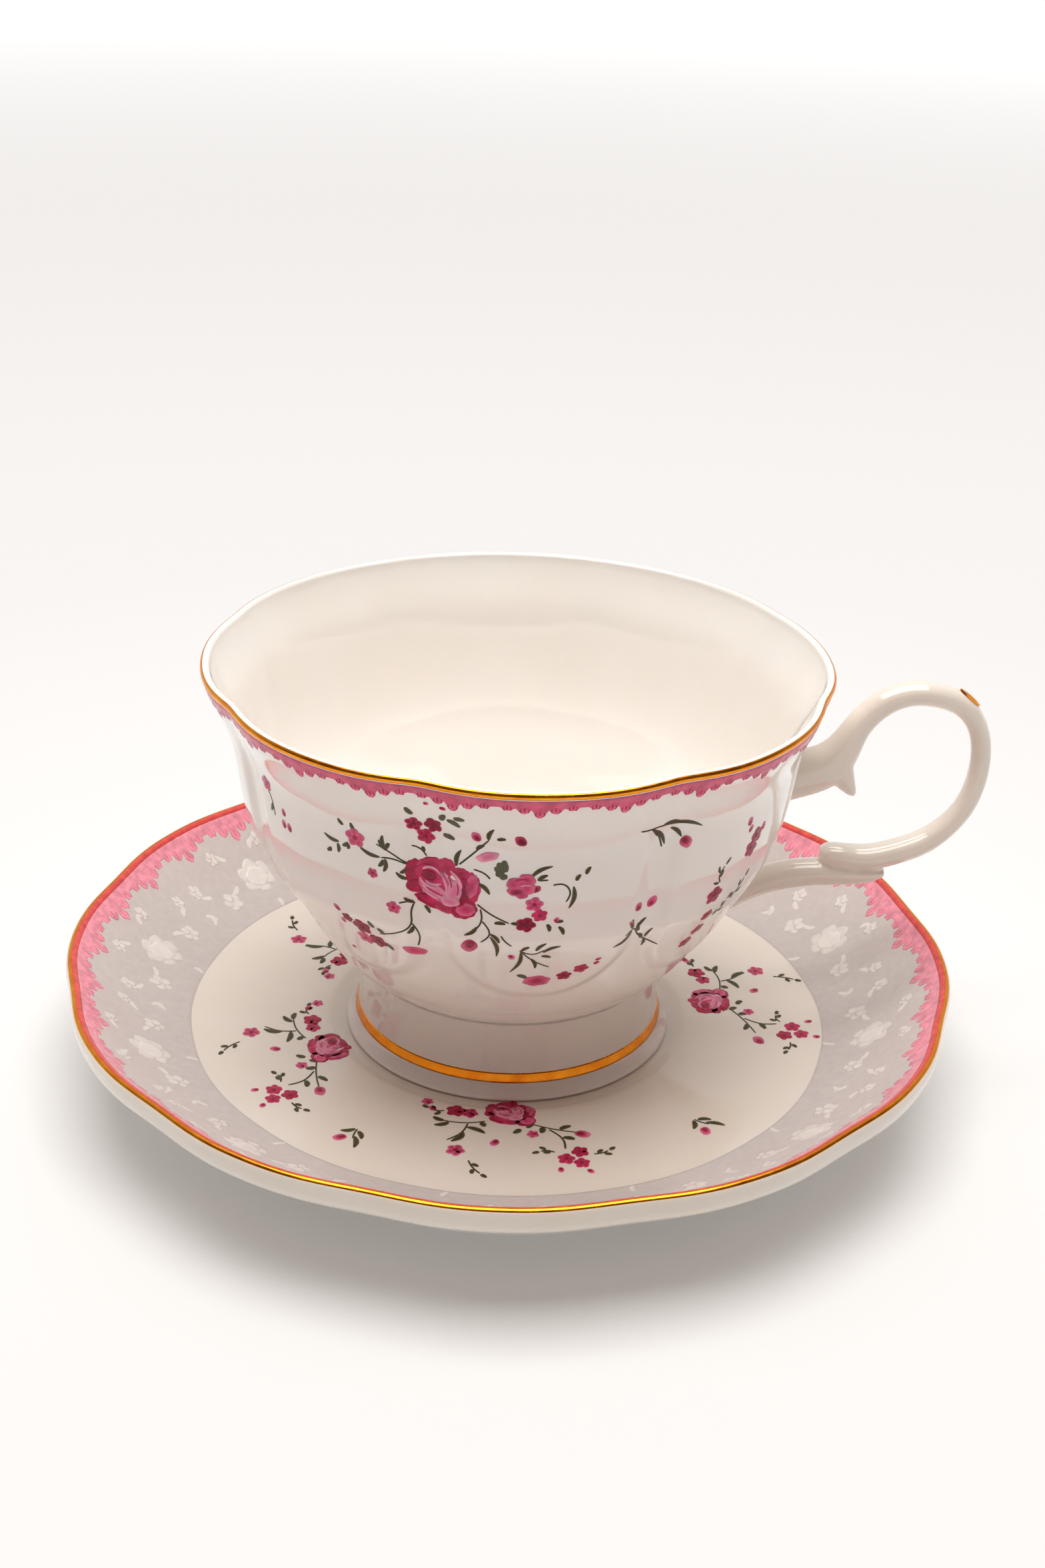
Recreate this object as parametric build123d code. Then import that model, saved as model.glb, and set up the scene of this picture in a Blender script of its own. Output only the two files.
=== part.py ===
from build123d import *
import math
import os

# Porcelain teacup on its saucer. Millimetres, +Z up. The origin is on the table, on the
# axis of cup and saucer, and the cup's handle points along +X.

# Saucer
saucer_radius = 75.0          # to the crests of the scalloped edge
saucer_lip_height = 20.0      # top of the edge above the table
saucer_wall = 3.4             # thickness of the plate
saucer_edge_depth = 3.6       # height of the rolled edge
saucer_scallops = 12
saucer_scallop_depth = 0.8    # crest to hollow
saucer_turn = -6.5            # degrees from the handle to the nearest crest
well_clearance = 1.8          # room round the cup's foot in the flat well it stands in
well_height = 6.6             # height of the well above the table
well_step = 0.5               # rise from the well to the floor round it
flat_radius = 54.4            # where the floor ends and the flank begins
flat_rise = 0.6               # how much the floor climbs before the flank
saucer_foot_radius = 43.0     # outside of the ring the saucer stands on
saucer_foot_width = 3.4
saucer_foot_height = 2.6      # from the table to the underside of the plate

# Cup foot
seat_gap = 0.1                # clearance between the cup's foot and the saucer
foot_neck_radius = 25.4       # where the bowl starts
foot_flare = 2.4              # how much further out the foot is, just above the seat
foot_height = 13.4
foot_flare_height = 7.5       # the flare runs from the seat to here
foot_wall = 3.6
foot_lip = 0.7                # rounding at the seat

# Cup bowl
rim_radius = 50.9             # to the crests of the scalloped rim
bowl_height = 53.4            # from the neck to the top of the rim
bowl_wall = 2.5
bowl_floor = 4.0
floor_radius = 16.0           # flat place inside
rim_scallops = 8
rim_scallop_depth = 0.9       # crest to notch
rim_scallop_rise = 0.3        # how much higher the rim is at a notch
notch_roundness = 0.16        # 0 would be a sharp V
# Outside of the bowl between neck and rim: share of the height, share of the radius
bowl_outline = [(0.11, 0.25), (0.33, 0.53), (0.47, 0.69), (0.67, 0.79), (0.84, 0.868), (0.955, 0.98)]

# Handle: a loop that leaves the bowl high, comes round and ends in a small scroll on the arm
# that carries it. Middle lines are lists of (out, up, depth, width): out and up are shares of
# the reach and of the rise, depth and width are shares of the handle's own.
handle_reach = 35.4           # from the bowl at the upper root to the outside of the loop
handle_rise = 40.0            # from the lower root to the top of the loop's middle line
lower_root_height = 6.3       # above the neck
handle_depth = 4.3            # in the plane of the loop
handle_width = 5.0            # across it
root_sink = 5.0               # how far the lower root runs into the bowl's wall
loop_line = [
    (-0.054, 0.630, 2.19, 1.40), (0.087, 0.645, 2.00, 1.28), (0.200, 0.680, 1.90, 1.20),
    (0.280, 0.760, 1.44, 1.08), (0.330, 0.845, 1.14, 1.00), (0.426, 0.945, 1.05, 1.00),
    (0.562, 1.000, 1.00, 1.00), (0.698, 0.995, 0.98, 1.00), (0.828, 0.947, 0.91, 0.96),
    (0.912, 0.855, 0.81, 0.92), (0.949, 0.730, 0.79, 0.90), (0.943, 0.600, 0.79, 0.90),
    (0.901, 0.480, 0.81, 0.92), (0.822, 0.385, 0.88, 0.96), (0.715, 0.312, 0.98, 1.00),
    (0.585, 0.268, 1.02, 1.02), (0.449, 0.245, 1.02, 1.04), (0.328, 0.255, 0.98, 1.02),
    (0.251, 0.270, 0.79, 0.88), (0.220, 0.277, 0.37, 0.48),
]
upper_root = 0.64             # share of the rise at which the loop leaves the bowl
arm_start = 0.55              # share of the reach where the arm leaves the loop
# For the arm, out is the share of the way from the lower root to where it leaves the loop
arm_line = [
    (0.995, 0.170, 0.37, 0.48), (0.942, 0.170, 0.70, 0.84), (0.818, 0.172, 0.98, 1.00),
    (0.694, 0.177, 1.09, 1.04), (0.570, 0.172, 1.16, 1.04), (0.449, 0.147, 1.12, 1.04),
    (0.307, 0.098, 1.21, 1.10), (0.167, 0.045, 1.53, 1.24), (0.0, 0.0, 2.00, 1.40),
]
spur_line = [(0.265, 0.690, 1.45, 1.00), (0.300, 0.622, 0.98, 0.86), (0.328, 0.575, 0.60, 0.62),
             (0.350, 0.545, 0.26, 0.30)]

# Gilding: painted lines and a dab, modelled as skins thick enough to handle
gilding_thickness = 0.25
rim_gilding_width = 1.0
rim_gilding_top = 30.0        # degrees up the rounding of the lip that the line reaches
foot_gilding_width = 1.3
foot_gilding_height = 2.8     # lower edge above the seat
gilded_place = 8              # the place in loop_line that wears the dab
handle_gilding_length = 4.6
handle_gilding_width = 2.4

# Heights and places that follow
foot_radius = foot_neck_radius + foot_flare
well_radius = foot_radius + well_clearance
seat_height = well_height + seat_gap
neck_height = seat_height + foot_height
rim_height = neck_height + bowl_height
lip_round = bowl_wall / 2


def scallop(angle, count, first_crest, roundness):
    """0 on a crest and 1 in a notch, with broad crests and narrow notches."""
    swing = math.cos(count * (angle - first_crest) / 2)
    crest = (math.hypot(swing, roundness) - roundness) / (math.hypot(1, roundness) - roundness)
    return (1 - crest) ** 1.5


def ring(radius, height, depth, rise, count, first_crest, roundness, points_per_lobe):
    """Closed scalloped curve: it dips inwards by depth and lifts by rise at every notch."""
    points = []
    for step in range(count * points_per_lobe):
        angle = first_crest + 2 * math.pi * step / (count * points_per_lobe)
        notch = scallop(angle, count, first_crest, roundness)
        reach = radius - depth * notch
        points.append((reach * math.cos(angle), reach * math.sin(angle), height + rise * notch))
    return Wire([Edge.make_spline([Vector(*point) for point in points], periodic=True)])


def smooth_share(value, low, high):
    """0 at low, 1 at high, with no corner at either end."""
    share = min(max((value - low) / (high - low), 0), 1)
    return share * share * (3 - 2 * share)


def outer_outline():
    """Outside of the bowl, from the neck to just under the rim, in the XZ plane."""
    spread = rim_radius - foot_neck_radius
    points = [(foot_neck_radius, 0, neck_height)]
    points += [(foot_neck_radius + r * spread, 0, neck_height + h * bowl_height) for h, r in bowl_outline]
    points.append((rim_radius, 0, rim_height - lip_round))
    return Edge.make_spline([Vector(*point) for point in points])


def inner_outline():
    """Inside of the bowl, from just under the rim down to the flat floor."""
    outside = outer_outline()
    points = [(rim_radius - 2 * lip_round, 0, rim_height - lip_round)]
    for share in (0.86, 0.72, 0.56, 0.40, 0.24):
        place, run = outside @ share, outside % share
        points.append((place.X - bowl_wall * run.Z, 0, place.Z + bowl_wall * run.X))
    points.append((floor_radius + 4.5, 0, neck_height + bowl_floor + 0.9))
    points.append((floor_radius, 0, neck_height + bowl_floor))
    return Edge.make_spline([Vector(*point) for point in points])


def bowl_ring(radius, height, shape_height):
    """Ring of the bowl's surface; the scallops fade out towards the neck."""
    share = smooth_share(shape_height, neck_height + 2, neck_height + 0.3 * bowl_height)
    lift = smooth_share(shape_height, neck_height + 0.7 * bowl_height, rim_height - lip_round - 2)
    return ring(radius, height, share * rim_scallop_depth, lift * rim_scallop_rise,
                rim_scallops, 0, notch_roundness, 6)


def skinned(stretches):
    """Closed solid skinned through rings, stretch by stretch, with a flat face at each end."""
    for before, after in zip(stretches, stretches[1:]):
        after[0] = before[-1]
    skins = [face for rings in stretches for face in Shell.make_loft(rings).faces()]
    return Solid(Shell(skins + [Face(stretches[0][0]), Face(stretches[-1][-1])]))


def bowl_rings_along(outline, count):
    places = [outline @ (step / count) for step in range(count + 1)]
    return [bowl_ring(place.X, place.Z, place.Z) for place in places]


def lip_place(turn):
    """Radius and height on the lip: turn 0 is its outermost place, 90 the top, 180 the innermost."""
    angle = math.radians(turn)
    return (rim_radius - lip_round + lip_round * math.cos(angle),
            rim_height - lip_round + lip_round * math.sin(angle))


def cup_bowl():
    outside = bowl_rings_along(outer_outline(), 12)
    lip = [bowl_ring(*lip_place(turn), rim_height) for turn in range(0, 181, 30)]
    inside = bowl_rings_along(inner_outline(), 12)
    return skinned([outside, lip, inside])


def filled_bowl(bowl):
    """The bowl with its inside filled, which the handle's roots are trimmed against."""
    outside, low, steps = outer_outline(), neck_height + 0.5 * bowl_floor, 24
    places = [outside @ (step / steps) for step in range(steps, 0, -1)]
    points = [(place.X - 0.5 * bowl_wall, place.Z) for place in places if place.Z > low]
    return bowl + turned([(0, points[0][1])] + points + [(points[-1][0], low), (0, low)])


def foot_side(gap=0.0):
    """Half section of the foot's outside, from seat to neck, set out by a gap."""
    seat = seat_height
    wide, neck = foot_radius + gap, foot_neck_radius + gap
    with BuildLine() as line:
        low = Line((wide - foot_lip, seat), (wide - 0.3 * foot_lip, seat + 0.2 * foot_lip))
        edge = ThreePointArc(low @ 1, (wide, seat + 0.6 * foot_lip), (wide - 0.15, seat + 1.1 * foot_lip))
        bend = (wide - 0.72 * (wide - neck), seat + 0.42 * foot_flare_height)
        flare = ThreePointArc(edge @ 1, bend, (neck, seat + foot_flare_height))
        Line(flare @ 1, (neck, neck_height))
    return line.line


def turned(outline_points, outline=None):
    with BuildSketch(Plane.XZ) as section:
        with BuildLine():
            if outline is not None:
                add(outline)
                Polyline(outline @ 1, *outline_points, outline @ 0)
            else:
                Polyline(*outline_points, close=True)
        make_face()
    return revolve(section.sketch, Axis.Z)


def cup_foot():
    inside = foot_neck_radius - foot_wall
    return turned([(inside, neck_height), (inside, seat_height + 1.2), (inside + 0.8, seat_height)],
                  foot_side())


def saucer_ring(radius, height):
    """Ring of the saucer's surface; the scallops fade out towards its floor."""
    share = smooth_share(radius, flat_radius - 8, saucer_radius)
    return ring(radius, height, share * saucer_scallop_depth, 0,
                saucer_scallops, math.radians(saucer_turn), 1.0, 4)


def rings_along(points, count):
    """Evenly spaced rings of the saucer along a smooth outline of (radius, height) points."""
    outline = Edge.make_spline([Vector(radius, 0, height) for radius, height in points])
    places = [outline @ (step / count) for step in range(count + 1)]
    return [saucer_ring(place.X, place.Z) for place in places]


def flank_outline():
    """Points of the saucer's flank, from where the floor ends up towards the edge."""
    base = well_height + well_step + flat_rise
    spread = saucer_radius - flat_radius
    return [(flat_radius + out * spread, base + up * (saucer_lip_height - base))
            for out, up in ((0.0, 0.0), (0.30, 0.17), (0.62, 0.52))]


def saucer_edge_outline():
    """Points over the rolled edge, from the top of the flank to the start of the underside."""
    edge, lip = saucer_radius, saucer_lip_height
    return [(edge - 1.6, lip - 0.3), (edge - 0.85, lip), (edge - 0.15, lip - 0.5), (edge, lip - 1.5),
            (edge - 0.4, lip - saucer_edge_depth), (edge - 1.9, lip - saucer_edge_depth - 1.5)]


def saucer_plate():
    """The plate, skinned in three stretches: top, rolled edge and underside."""
    edge = saucer_edge_outline()
    top = [(flat_radius - 10, well_height + well_step)] + flank_outline() + [edge[0]]
    belly = [(radius + 0.4 * saucer_wall, height - 0.85 * saucer_wall)
             for radius, height in flank_outline()[:0:-1]]
    under = [edge[-1]] + belly + [(flat_radius - 2, saucer_foot_height + 1.5),
                                  (saucer_foot_radius - 0.5, saucer_foot_height)]
    return skinned([rings_along(top, 10), rings_along(edge, 8), rings_along(under, 10)])


def saucer():
    inside = saucer_foot_radius - saucer_foot_width
    foot = turned([(inside + 0.9, 0), (saucer_foot_radius - 0.7, 0), (saucer_foot_radius, 0.9),
                   (saucer_foot_radius, saucer_foot_height + 0.8),
                   (inside, saucer_foot_height + 0.8), (inside, 0.9)])
    return saucer_plate() + foot - disc(well_radius, well_height, 2 * well_step)


def wall_radius(height):
    """Radius of the outside of the bowl at a height above the table."""
    outline = outer_outline()
    low, high = 0.0, 1.0
    for _ in range(30):
        middle = (low + high) / 2
        if (outline @ middle).Z < height:
            low = middle
        else:
            high = middle
    return (outline @ low).X


def bar(points, depths, widths, swell=0.0):
    """Solid bar of oval sections square to the smooth line through the points."""
    line = Edge.make_spline([Vector(x, 0, z) for x, z in points])
    sections = []
    for (x, z), depth, width in zip(points, depths, widths):
        run = line.tangent_at(line.param_at_point(Vector(x, 0, z)))
        plane = Plane(origin=(x, 0, z), x_dir=(0, 1, 0), z_dir=run)
        across = width * handle_width / 2 + swell
        along = depth * handle_depth / 2 + swell
        sections.append(Wire([Edge.make_ellipse(across, along, plane=plane)]))
    return Solid.make_loft(sections)


def handle_frame():
    """Places the shares are counted from: lower root height, both wall radii, arm's start."""
    low = neck_height + lower_root_height
    upper_wall = wall_radius(low + upper_root * handle_rise)
    lower_wall = wall_radius(low) - root_sink
    return low, upper_wall, lower_wall, upper_wall + arm_start * handle_reach


def loop_bar(line, swell=0.0):
    low, upper_wall, _, _ = handle_frame()
    points = [(upper_wall + out * handle_reach, low + up * handle_rise) for out, up, _, _ in line]
    return bar(points, [place[2] for place in line], [place[3] for place in line], swell)


def arm_bar():
    low, _, lower_wall, start = handle_frame()
    span = start - lower_wall
    points = [(lower_wall + out * span, low + up * handle_rise) for out, up, _, _ in arm_line]
    return bar(points, [place[2] for place in arm_line], [place[3] for place in arm_line])


def cup_handle(core):
    return loop_bar(loop_line) + arm_bar() + loop_bar(spur_line) - core


def handle_gilding(handle):
    """A touch of gold on the loop's outer shoulder."""
    low, upper_wall, _, _ = handle_frame()
    out, up = loop_line[gilded_place][0], loop_line[gilded_place][1]
    shoulder = Vector(upper_wall + out * handle_reach, 0, low + up * handle_rise)
    outward = Vector(0.62, 0, 0.78)
    skin = loop_bar(loop_line[gilded_place - 2:gilded_place + 3], gilding_thickness)
    patch = Plane(origin=shoulder + outward * (handle_depth / 2), x_dir=(0, 1, 0), z_dir=outward)
    outline = patch * Ellipse(handle_gilding_width / 2, handle_gilding_length / 2)
    return (skin & extrude(outline, handle_depth / 2, both=True)) - handle


def disc(radius, low, height):
    """Round block standing on a height, on the axis."""
    return Pos(0, 0, low) * Cylinder(radius, height, align=(Align.CENTER, Align.CENTER, Align.MIN))


def foot_gilding(foot):
    low = seat_height + foot_gilding_height
    swollen = turned([(0, neck_height), (0, seat_height)], foot_side(gilding_thickness))
    slab = disc(foot_radius + foot_flare, low, foot_gilding_width)
    core = disc(foot_neck_radius - foot_wall / 2, low - foot_wall, foot_gilding_width + 2 * foot_wall)
    return swollen & slab - foot - core


def gilded(points, make_ring):
    """Thin skin over the surface whose outline runs through (radius, height) points."""
    outline = Edge.make_spline([Vector(radius, 0, height) for radius, height in points])
    skins = []
    for gap in (0, gilding_thickness):
        rings = []
        for share in (0, 1 / 3, 2 / 3, 1):
            place, run = outline @ share, outline % share
            rings.append(make_ring(place.X + gap * run.Z, place.Z - gap * run.X))
        skins.append(rings)
    under, over = skins
    strips = [under, over, [under[0], over[0]], [under[-1], over[-1]]]
    return Solid(Shell([face for rings in strips for face in Shell.make_loft(rings).faces()]))


def rim_gilding():
    """Line round the outside of the rim, from its shoulder down."""
    straight = rim_gilding_width - math.radians(rim_gilding_top) * lip_round
    low = rim_height - lip_round - straight
    points = [(wall_radius(low), low)] + [lip_place(share * rim_gilding_top) for share in (0, 0.5, 1)]
    return gilded(points, lambda radius, height: bowl_ring(radius, height, rim_height))


def saucer_gilding():
    """Line along the top of the saucer's rolled edge."""
    return gilded(saucer_edge_outline()[2::-1], saucer_ring)


if __name__ == "__main__":
    os.makedirs("parts", exist_ok=True)
    bowl = cup_bowl()
    handle = cup_handle(filled_bowl(bowl))
    foot = cup_foot()
    pieces = {
        "saucer": saucer(),
        "saucer_rim_gilding": saucer_gilding(),
        "cup_foot": foot,
        "cup_foot_gilding": foot_gilding(foot),
        "cup_bowl": bowl,
        "cup_rim_gilding": rim_gilding(),
        "cup_handle": handle,
        "handle_gilding": handle_gilding(handle),
    }
    for name, solid in pieces.items():
        export_step(solid, f"parts/{name}.step")
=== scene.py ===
import math

import bpy
import numpy as np
from mathutils import Matrix, Vector


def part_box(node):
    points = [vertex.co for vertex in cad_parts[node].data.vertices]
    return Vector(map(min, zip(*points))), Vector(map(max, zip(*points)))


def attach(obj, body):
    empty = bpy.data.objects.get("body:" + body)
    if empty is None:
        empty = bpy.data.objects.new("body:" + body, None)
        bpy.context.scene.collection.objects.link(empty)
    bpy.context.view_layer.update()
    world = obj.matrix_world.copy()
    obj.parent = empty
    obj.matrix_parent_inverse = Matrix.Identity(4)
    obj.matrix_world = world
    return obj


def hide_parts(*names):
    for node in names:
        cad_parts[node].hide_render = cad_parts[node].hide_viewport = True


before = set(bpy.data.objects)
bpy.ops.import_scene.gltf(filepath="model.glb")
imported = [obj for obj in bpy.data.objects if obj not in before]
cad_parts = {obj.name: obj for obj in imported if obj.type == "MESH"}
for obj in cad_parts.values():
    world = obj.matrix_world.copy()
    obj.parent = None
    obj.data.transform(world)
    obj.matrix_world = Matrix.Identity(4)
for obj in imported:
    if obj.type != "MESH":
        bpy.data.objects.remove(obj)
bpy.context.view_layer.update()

MM = 0.001

# ---------------------------------------------------------------- sizes, in millimetres
# Boxes of the CAD nodes give the driving sizes; the rest repeats the design's own values.


def corner(node, end):
    """Low (end 0) or high (end 1) corner of a CAD node's box."""
    return np.array(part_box(node)[end]) / MM


bowl_high, foot_high, saucer_high, handle_high = (
    corner(node, 1) for node in ("cup_bowl", "cup_foot", "saucer", "cup_handle"))

SEAT = corner("cup_foot", 0)[2]          # underside of the cup's foot
NECK = foot_high[2]                      # where foot and bowl meet
RIM_RISE = 0.3                           # the rim is this much higher at a notch
RIM = bowl_high[2] - RIM_RISE            # top of the rim at a crest
RIM_RADIUS = bowl_high[0]
NECK_RADIUS = 25.4
FOOT_RADIUS = foot_high[0]
WALL = 2.5
LIP = 0.75                               # the wall thins to twice this at the rounded lip
FLOOR = 4
FLOOR_RADIUS = 16
FLOOR_DISH = 0.25                        # the floor is this much lower in its middle
# places along the outside, from neck to rim, and the wall's thickness there as a share of WALL
WALL_SHARES = [(0.94, 0.67), (0.86, 0.77), (0.76, 0.89), (0.64, 1), (0.5, 1), (0.38, 1), (0.24, 1)]
RIM_SCALLOPS = 8
RIM_DIP = 0.9                            # how far the rim is drawn in at a notch
NOTCH_SHARPNESS, CREST_ROUNDNESS = 1.5, 0.16
LOBE_RISE = 0.75                         # how far a lobe stands out from the channels beside it
LOBE_EDGE = 2.6                          # width of its rounded edge
LOBE_FOOT = 30                         # height of its rounded lower end
LOBE_CORNER = 12
CHANNEL_HALF_WIDTH = 1.3
# shares of the height and of the spread from neck to rim
BOWL_OUTLINE = [(0.11, 0.25), (0.33, 0.53), (0.47, 0.69), (0.67, 0.79), (0.84, 0.868), (0.955, 0.98)]

SAUCER_RADIUS = saucer_high[0] + 0.11    # its crests lie a little off the X axis
SAUCER_LIP = saucer_high[2]
SAUCER_SCALLOPS = 12
SAUCER_DIP = 0.8
SAUCER_TURN = math.radians(-6.5)
SAUCER_WALL = 3.4
SAUCER_EDGE = 3.6
WELL_RADIUS = FOOT_RADIUS + 1.8
WELL = SEAT - 0.1
SAUCER_FLOOR = WELL + 0.5
FLAT_RADIUS = 54.4
FLAT_RISE = 0.6
FOOT_RING_RADIUS = 43
FOOT_RING_WIDTH = 3.4
FOOT_RING_HEIGHT = 2.6


# ---------------------------------------------------------------- curves and meshes


def smooth_line(points, count):
    """Points evenly spaced along a smooth curve through the given ones (natural cubic spline)."""
    points = np.array(points, float)
    knots = np.r_[0, np.cumsum(np.linalg.norm(np.diff(points, axis=0), axis=1))]
    size = len(points)
    gaps = np.diff(knots)
    matrix = np.zeros((size, size))
    right = np.zeros_like(points)
    matrix[0, 0] = matrix[-1, -1] = 1
    for i in range(1, size - 1):
        matrix[i, i - 1], matrix[i, i + 1] = gaps[i - 1], gaps[i]
        matrix[i, i] = 2 * (gaps[i - 1] + gaps[i])
        right[i] = 6 * ((points[i + 1] - points[i]) / gaps[i] - (points[i] - points[i - 1]) / gaps[i - 1])
    bend = np.linalg.solve(matrix, right)

    def at(t):
        i = np.clip(np.searchsorted(knots, t) - 1, 0, size - 2)
        h, a, b = gaps[i][:, None], (knots[i + 1] - t)[:, None], (t - knots[i])[:, None]
        return (bend[i] * a ** 3 + bend[i + 1] * b ** 3) / (6 * h) + \
            (points[i] / h - bend[i] * h / 6) * a + (points[i + 1] / h - bend[i + 1] * h / 6) * b

    fine = at(np.linspace(0, knots[-1], 1200))
    run = np.r_[0, np.cumsum(np.linalg.norm(np.diff(fine, axis=0), axis=1))]
    wanted = np.linspace(0, run[-1], count)
    return np.stack([np.interp(wanted, run, fine[:, k]) for k in range(fine.shape[1])], 1)


def whole_turn(count):
    return np.arange(count) * 2 * math.pi / count


def aside(line):
    """Unit steps square to a flat line, to its left."""
    ahead = np.gradient(line, axis=0)
    ahead /= np.linalg.norm(ahead, axis=1)[:, None]
    return np.stack([-ahead[:, 1], ahead[:, 0]], 1)


def smooth_share(value, low, high):
    share = np.clip((value - low) / (high - low), 0, 1)
    return share * share * (3 - 2 * share)


def add_object(name, data):
    piece = bpy.data.objects.new(name, data)
    bpy.context.scene.collection.objects.link(piece)
    return piece


def make_object(name, verts, faces):
    mesh = bpy.data.meshes.new(name)
    mesh.from_pydata([tuple(v) for v in np.asarray(verts) * MM], [], [tuple(f) for f in faces])
    mesh.validate()
    mesh.shade_smooth()
    return add_object(name, mesh)


def lathe(name, outline, columns, warp):
    """Closed form turned from an outline that starts and ends on the axis.

    outline is an array of (radius, height); warp(radius, height, angle, row) gives the places of a
    whole row. The first and the last row are single points on the axis.
    """
    angles = whole_turn(columns)
    rows = len(outline)
    verts = [(0, 0, outline[0][1])]
    for row in range(1, rows - 1):
        radius, height = warp(outline[row][0], outline[row][1], angles, row)
        verts += list(zip(radius * np.cos(angles), radius * np.sin(angles), height + 0 * angles))
    verts.append((0, 0, outline[-1][1]))
    last = len(verts) - 1
    faces = []
    for i in range(columns):
        j = (i + 1) % columns
        faces.append((0, 1 + j, 1 + i))
        for row in range(rows - 3):
            base = 1 + row * columns
            faces.append((base + i, base + j, base + columns + j, base + columns + i))
        base = 1 + (rows - 3) * columns
        faces.append((base + i, base + j, last))
    return make_object(name, verts, faces)


# ---------------------------------------------------------------- the bowl


def outer_outline(count):
    spread = RIM_RADIUS - NECK_RADIUS
    height = RIM - NECK
    points = [(NECK_RADIUS, NECK)]
    points += [(NECK_RADIUS + r * spread, NECK + h * height) for h, r in BOWL_OUTLINE]
    points.append((RIM_RADIUS, RIM - LIP))
    return smooth_line(points, count)


OUTSIDE = outer_outline(1200)
OUTSIDE_RUN = np.r_[0, np.cumsum(np.linalg.norm(np.diff(OUTSIDE, axis=0), axis=1))]


def inner_outline(count):
    inward = aside(OUTSIDE)
    points = [(RIM_RADIUS - 2 * LIP, RIM - LIP)]
    for share, wall in WALL_SHARES:
        place = int(share * (len(OUTSIDE) - 1))
        points.append(OUTSIDE[place] + WALL * wall * inward[place])
    points.append((FLOOR_RADIUS + 4.5, NECK + FLOOR + 0.9))
    points.append((FLOOR_RADIUS, NECK + FLOOR))
    return smooth_line(points, count)


def notch_share(angles):
    """1 in a notch of the rim and 0 on a crest."""
    swing = np.cos(RIM_SCALLOPS * angles / 2)
    whole = math.hypot(1, CREST_ROUNDNESS) - CREST_ROUNDNESS
    crest = (np.hypot(swing, CREST_ROUNDNESS) - CREST_ROUNDNESS) / whole
    return (1 - crest) ** NOTCH_SHARPNESS


def lobe_share(radius, height, angles):
    """1 on a raised lobe and 0 in the channels and under its rounded foot, with a soft edge between."""
    pitch = 2 * math.pi / RIM_SCALLOPS
    side = np.abs((angles / pitch) % 1 - 0.5) * pitch * radius - CHANNEL_HALF_WIDTH
    foot = height - LOBE_FOOT + 0 * side
    corner = LOBE_CORNER - np.hypot(np.maximum(LOBE_CORNER - side, 0), np.maximum(LOBE_CORNER - foot, 0))
    inward = np.minimum(np.minimum(side, foot), corner)
    return smooth_share(inward, 0, LOBE_EDGE)


def bowl_warp(radius, height, angles, inside=False):
    """Lobes with channels between them; the belly under them is round and the rim wavy."""
    near_rim = smooth_share(height, RIM - 15, RIM - 3)
    notch = notch_share(angles)
    if inside:
        dip = 0.35 * RIM_DIP * smooth_share(height, NECK + 8, RIM - 15) * notch * (1 - near_rim)
    else:
        dip = LOBE_RISE * smooth_share(height, NECK + 1, NECK + 9) * (1 - near_rim) \
            * (1 - lobe_share(radius, height, angles))
    dip = dip + RIM_DIP * notch * near_rim
    lift = RIM_RISE * smooth_share(height, RIM - 16, RIM - LIP) * notch
    return radius - dip, height + lift


def build_bowl():
    turns = np.radians(np.linspace(0, 180, 17)[1:-1])
    lip = np.stack([RIM_RADIUS - LIP + LIP * np.cos(turns), RIM - LIP + LIP * np.sin(turns)], 1)
    outside, inside = outer_outline(124), inner_outline(56)
    under = [(0, NECK + 0.02), (NECK_RADIUS - 6, NECK + 0.02), (NECK_RADIUS - 0.6, NECK + 0.02)]
    floor = [(FLOOR_RADIUS * share, NECK + FLOOR - FLOOR_DISH * (1 - share ** 2))
             for share in (0.75, 0.5, 0.25, 0)]
    outline = np.concatenate([under, outside, lip, inside, floor])
    first_inside = len(under) + len(outside) + len(lip) // 2

    def warp(radius, height, angles, row):
        return bowl_warp(radius, height, angles, row > first_inside)

    piece = lathe("bowl", outline, RIM_SCALLOPS * 60, warp)
    # Outward faces below the lip take the second material, a darker copy of the porcelain: painted shade
    # on the bowl's outside
    for face in piece.data.polygons:
        outward = face.normal.x * face.center.x + face.normal.y * face.center.y > 0
        face.material_index = 1 if outward and face.center.z / MM < RIM - LIP else 0
    return piece


def bowl_place(run):
    """Radius and height of the bowl's outside, run in mm up from the neck."""
    return np.interp(run, OUTSIDE_RUN, OUTSIDE[:, 0]), np.interp(run, OUTSIDE_RUN, OUTSIDE[:, 1])


def on_bowl(angle, run, lift):
    """Places on the outside of the bowl: angle in radians, run in mm up from the neck."""
    radius, height = bowl_place(run)
    over, under = bowl_place(run + 0.1), bowl_place(run - 0.1)
    ahead_r, ahead_z = over[0] - under[0], over[1] - under[1]
    length = np.hypot(ahead_r, ahead_z)
    radius, height = bowl_warp(radius, height, angle)
    radius = radius + lift * ahead_z / length
    height = height - lift * ahead_r / length
    return np.stack([radius * np.cos(angle), radius * np.sin(angle), height], -1)


# ---------------------------------------------------------------- the foot


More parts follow.
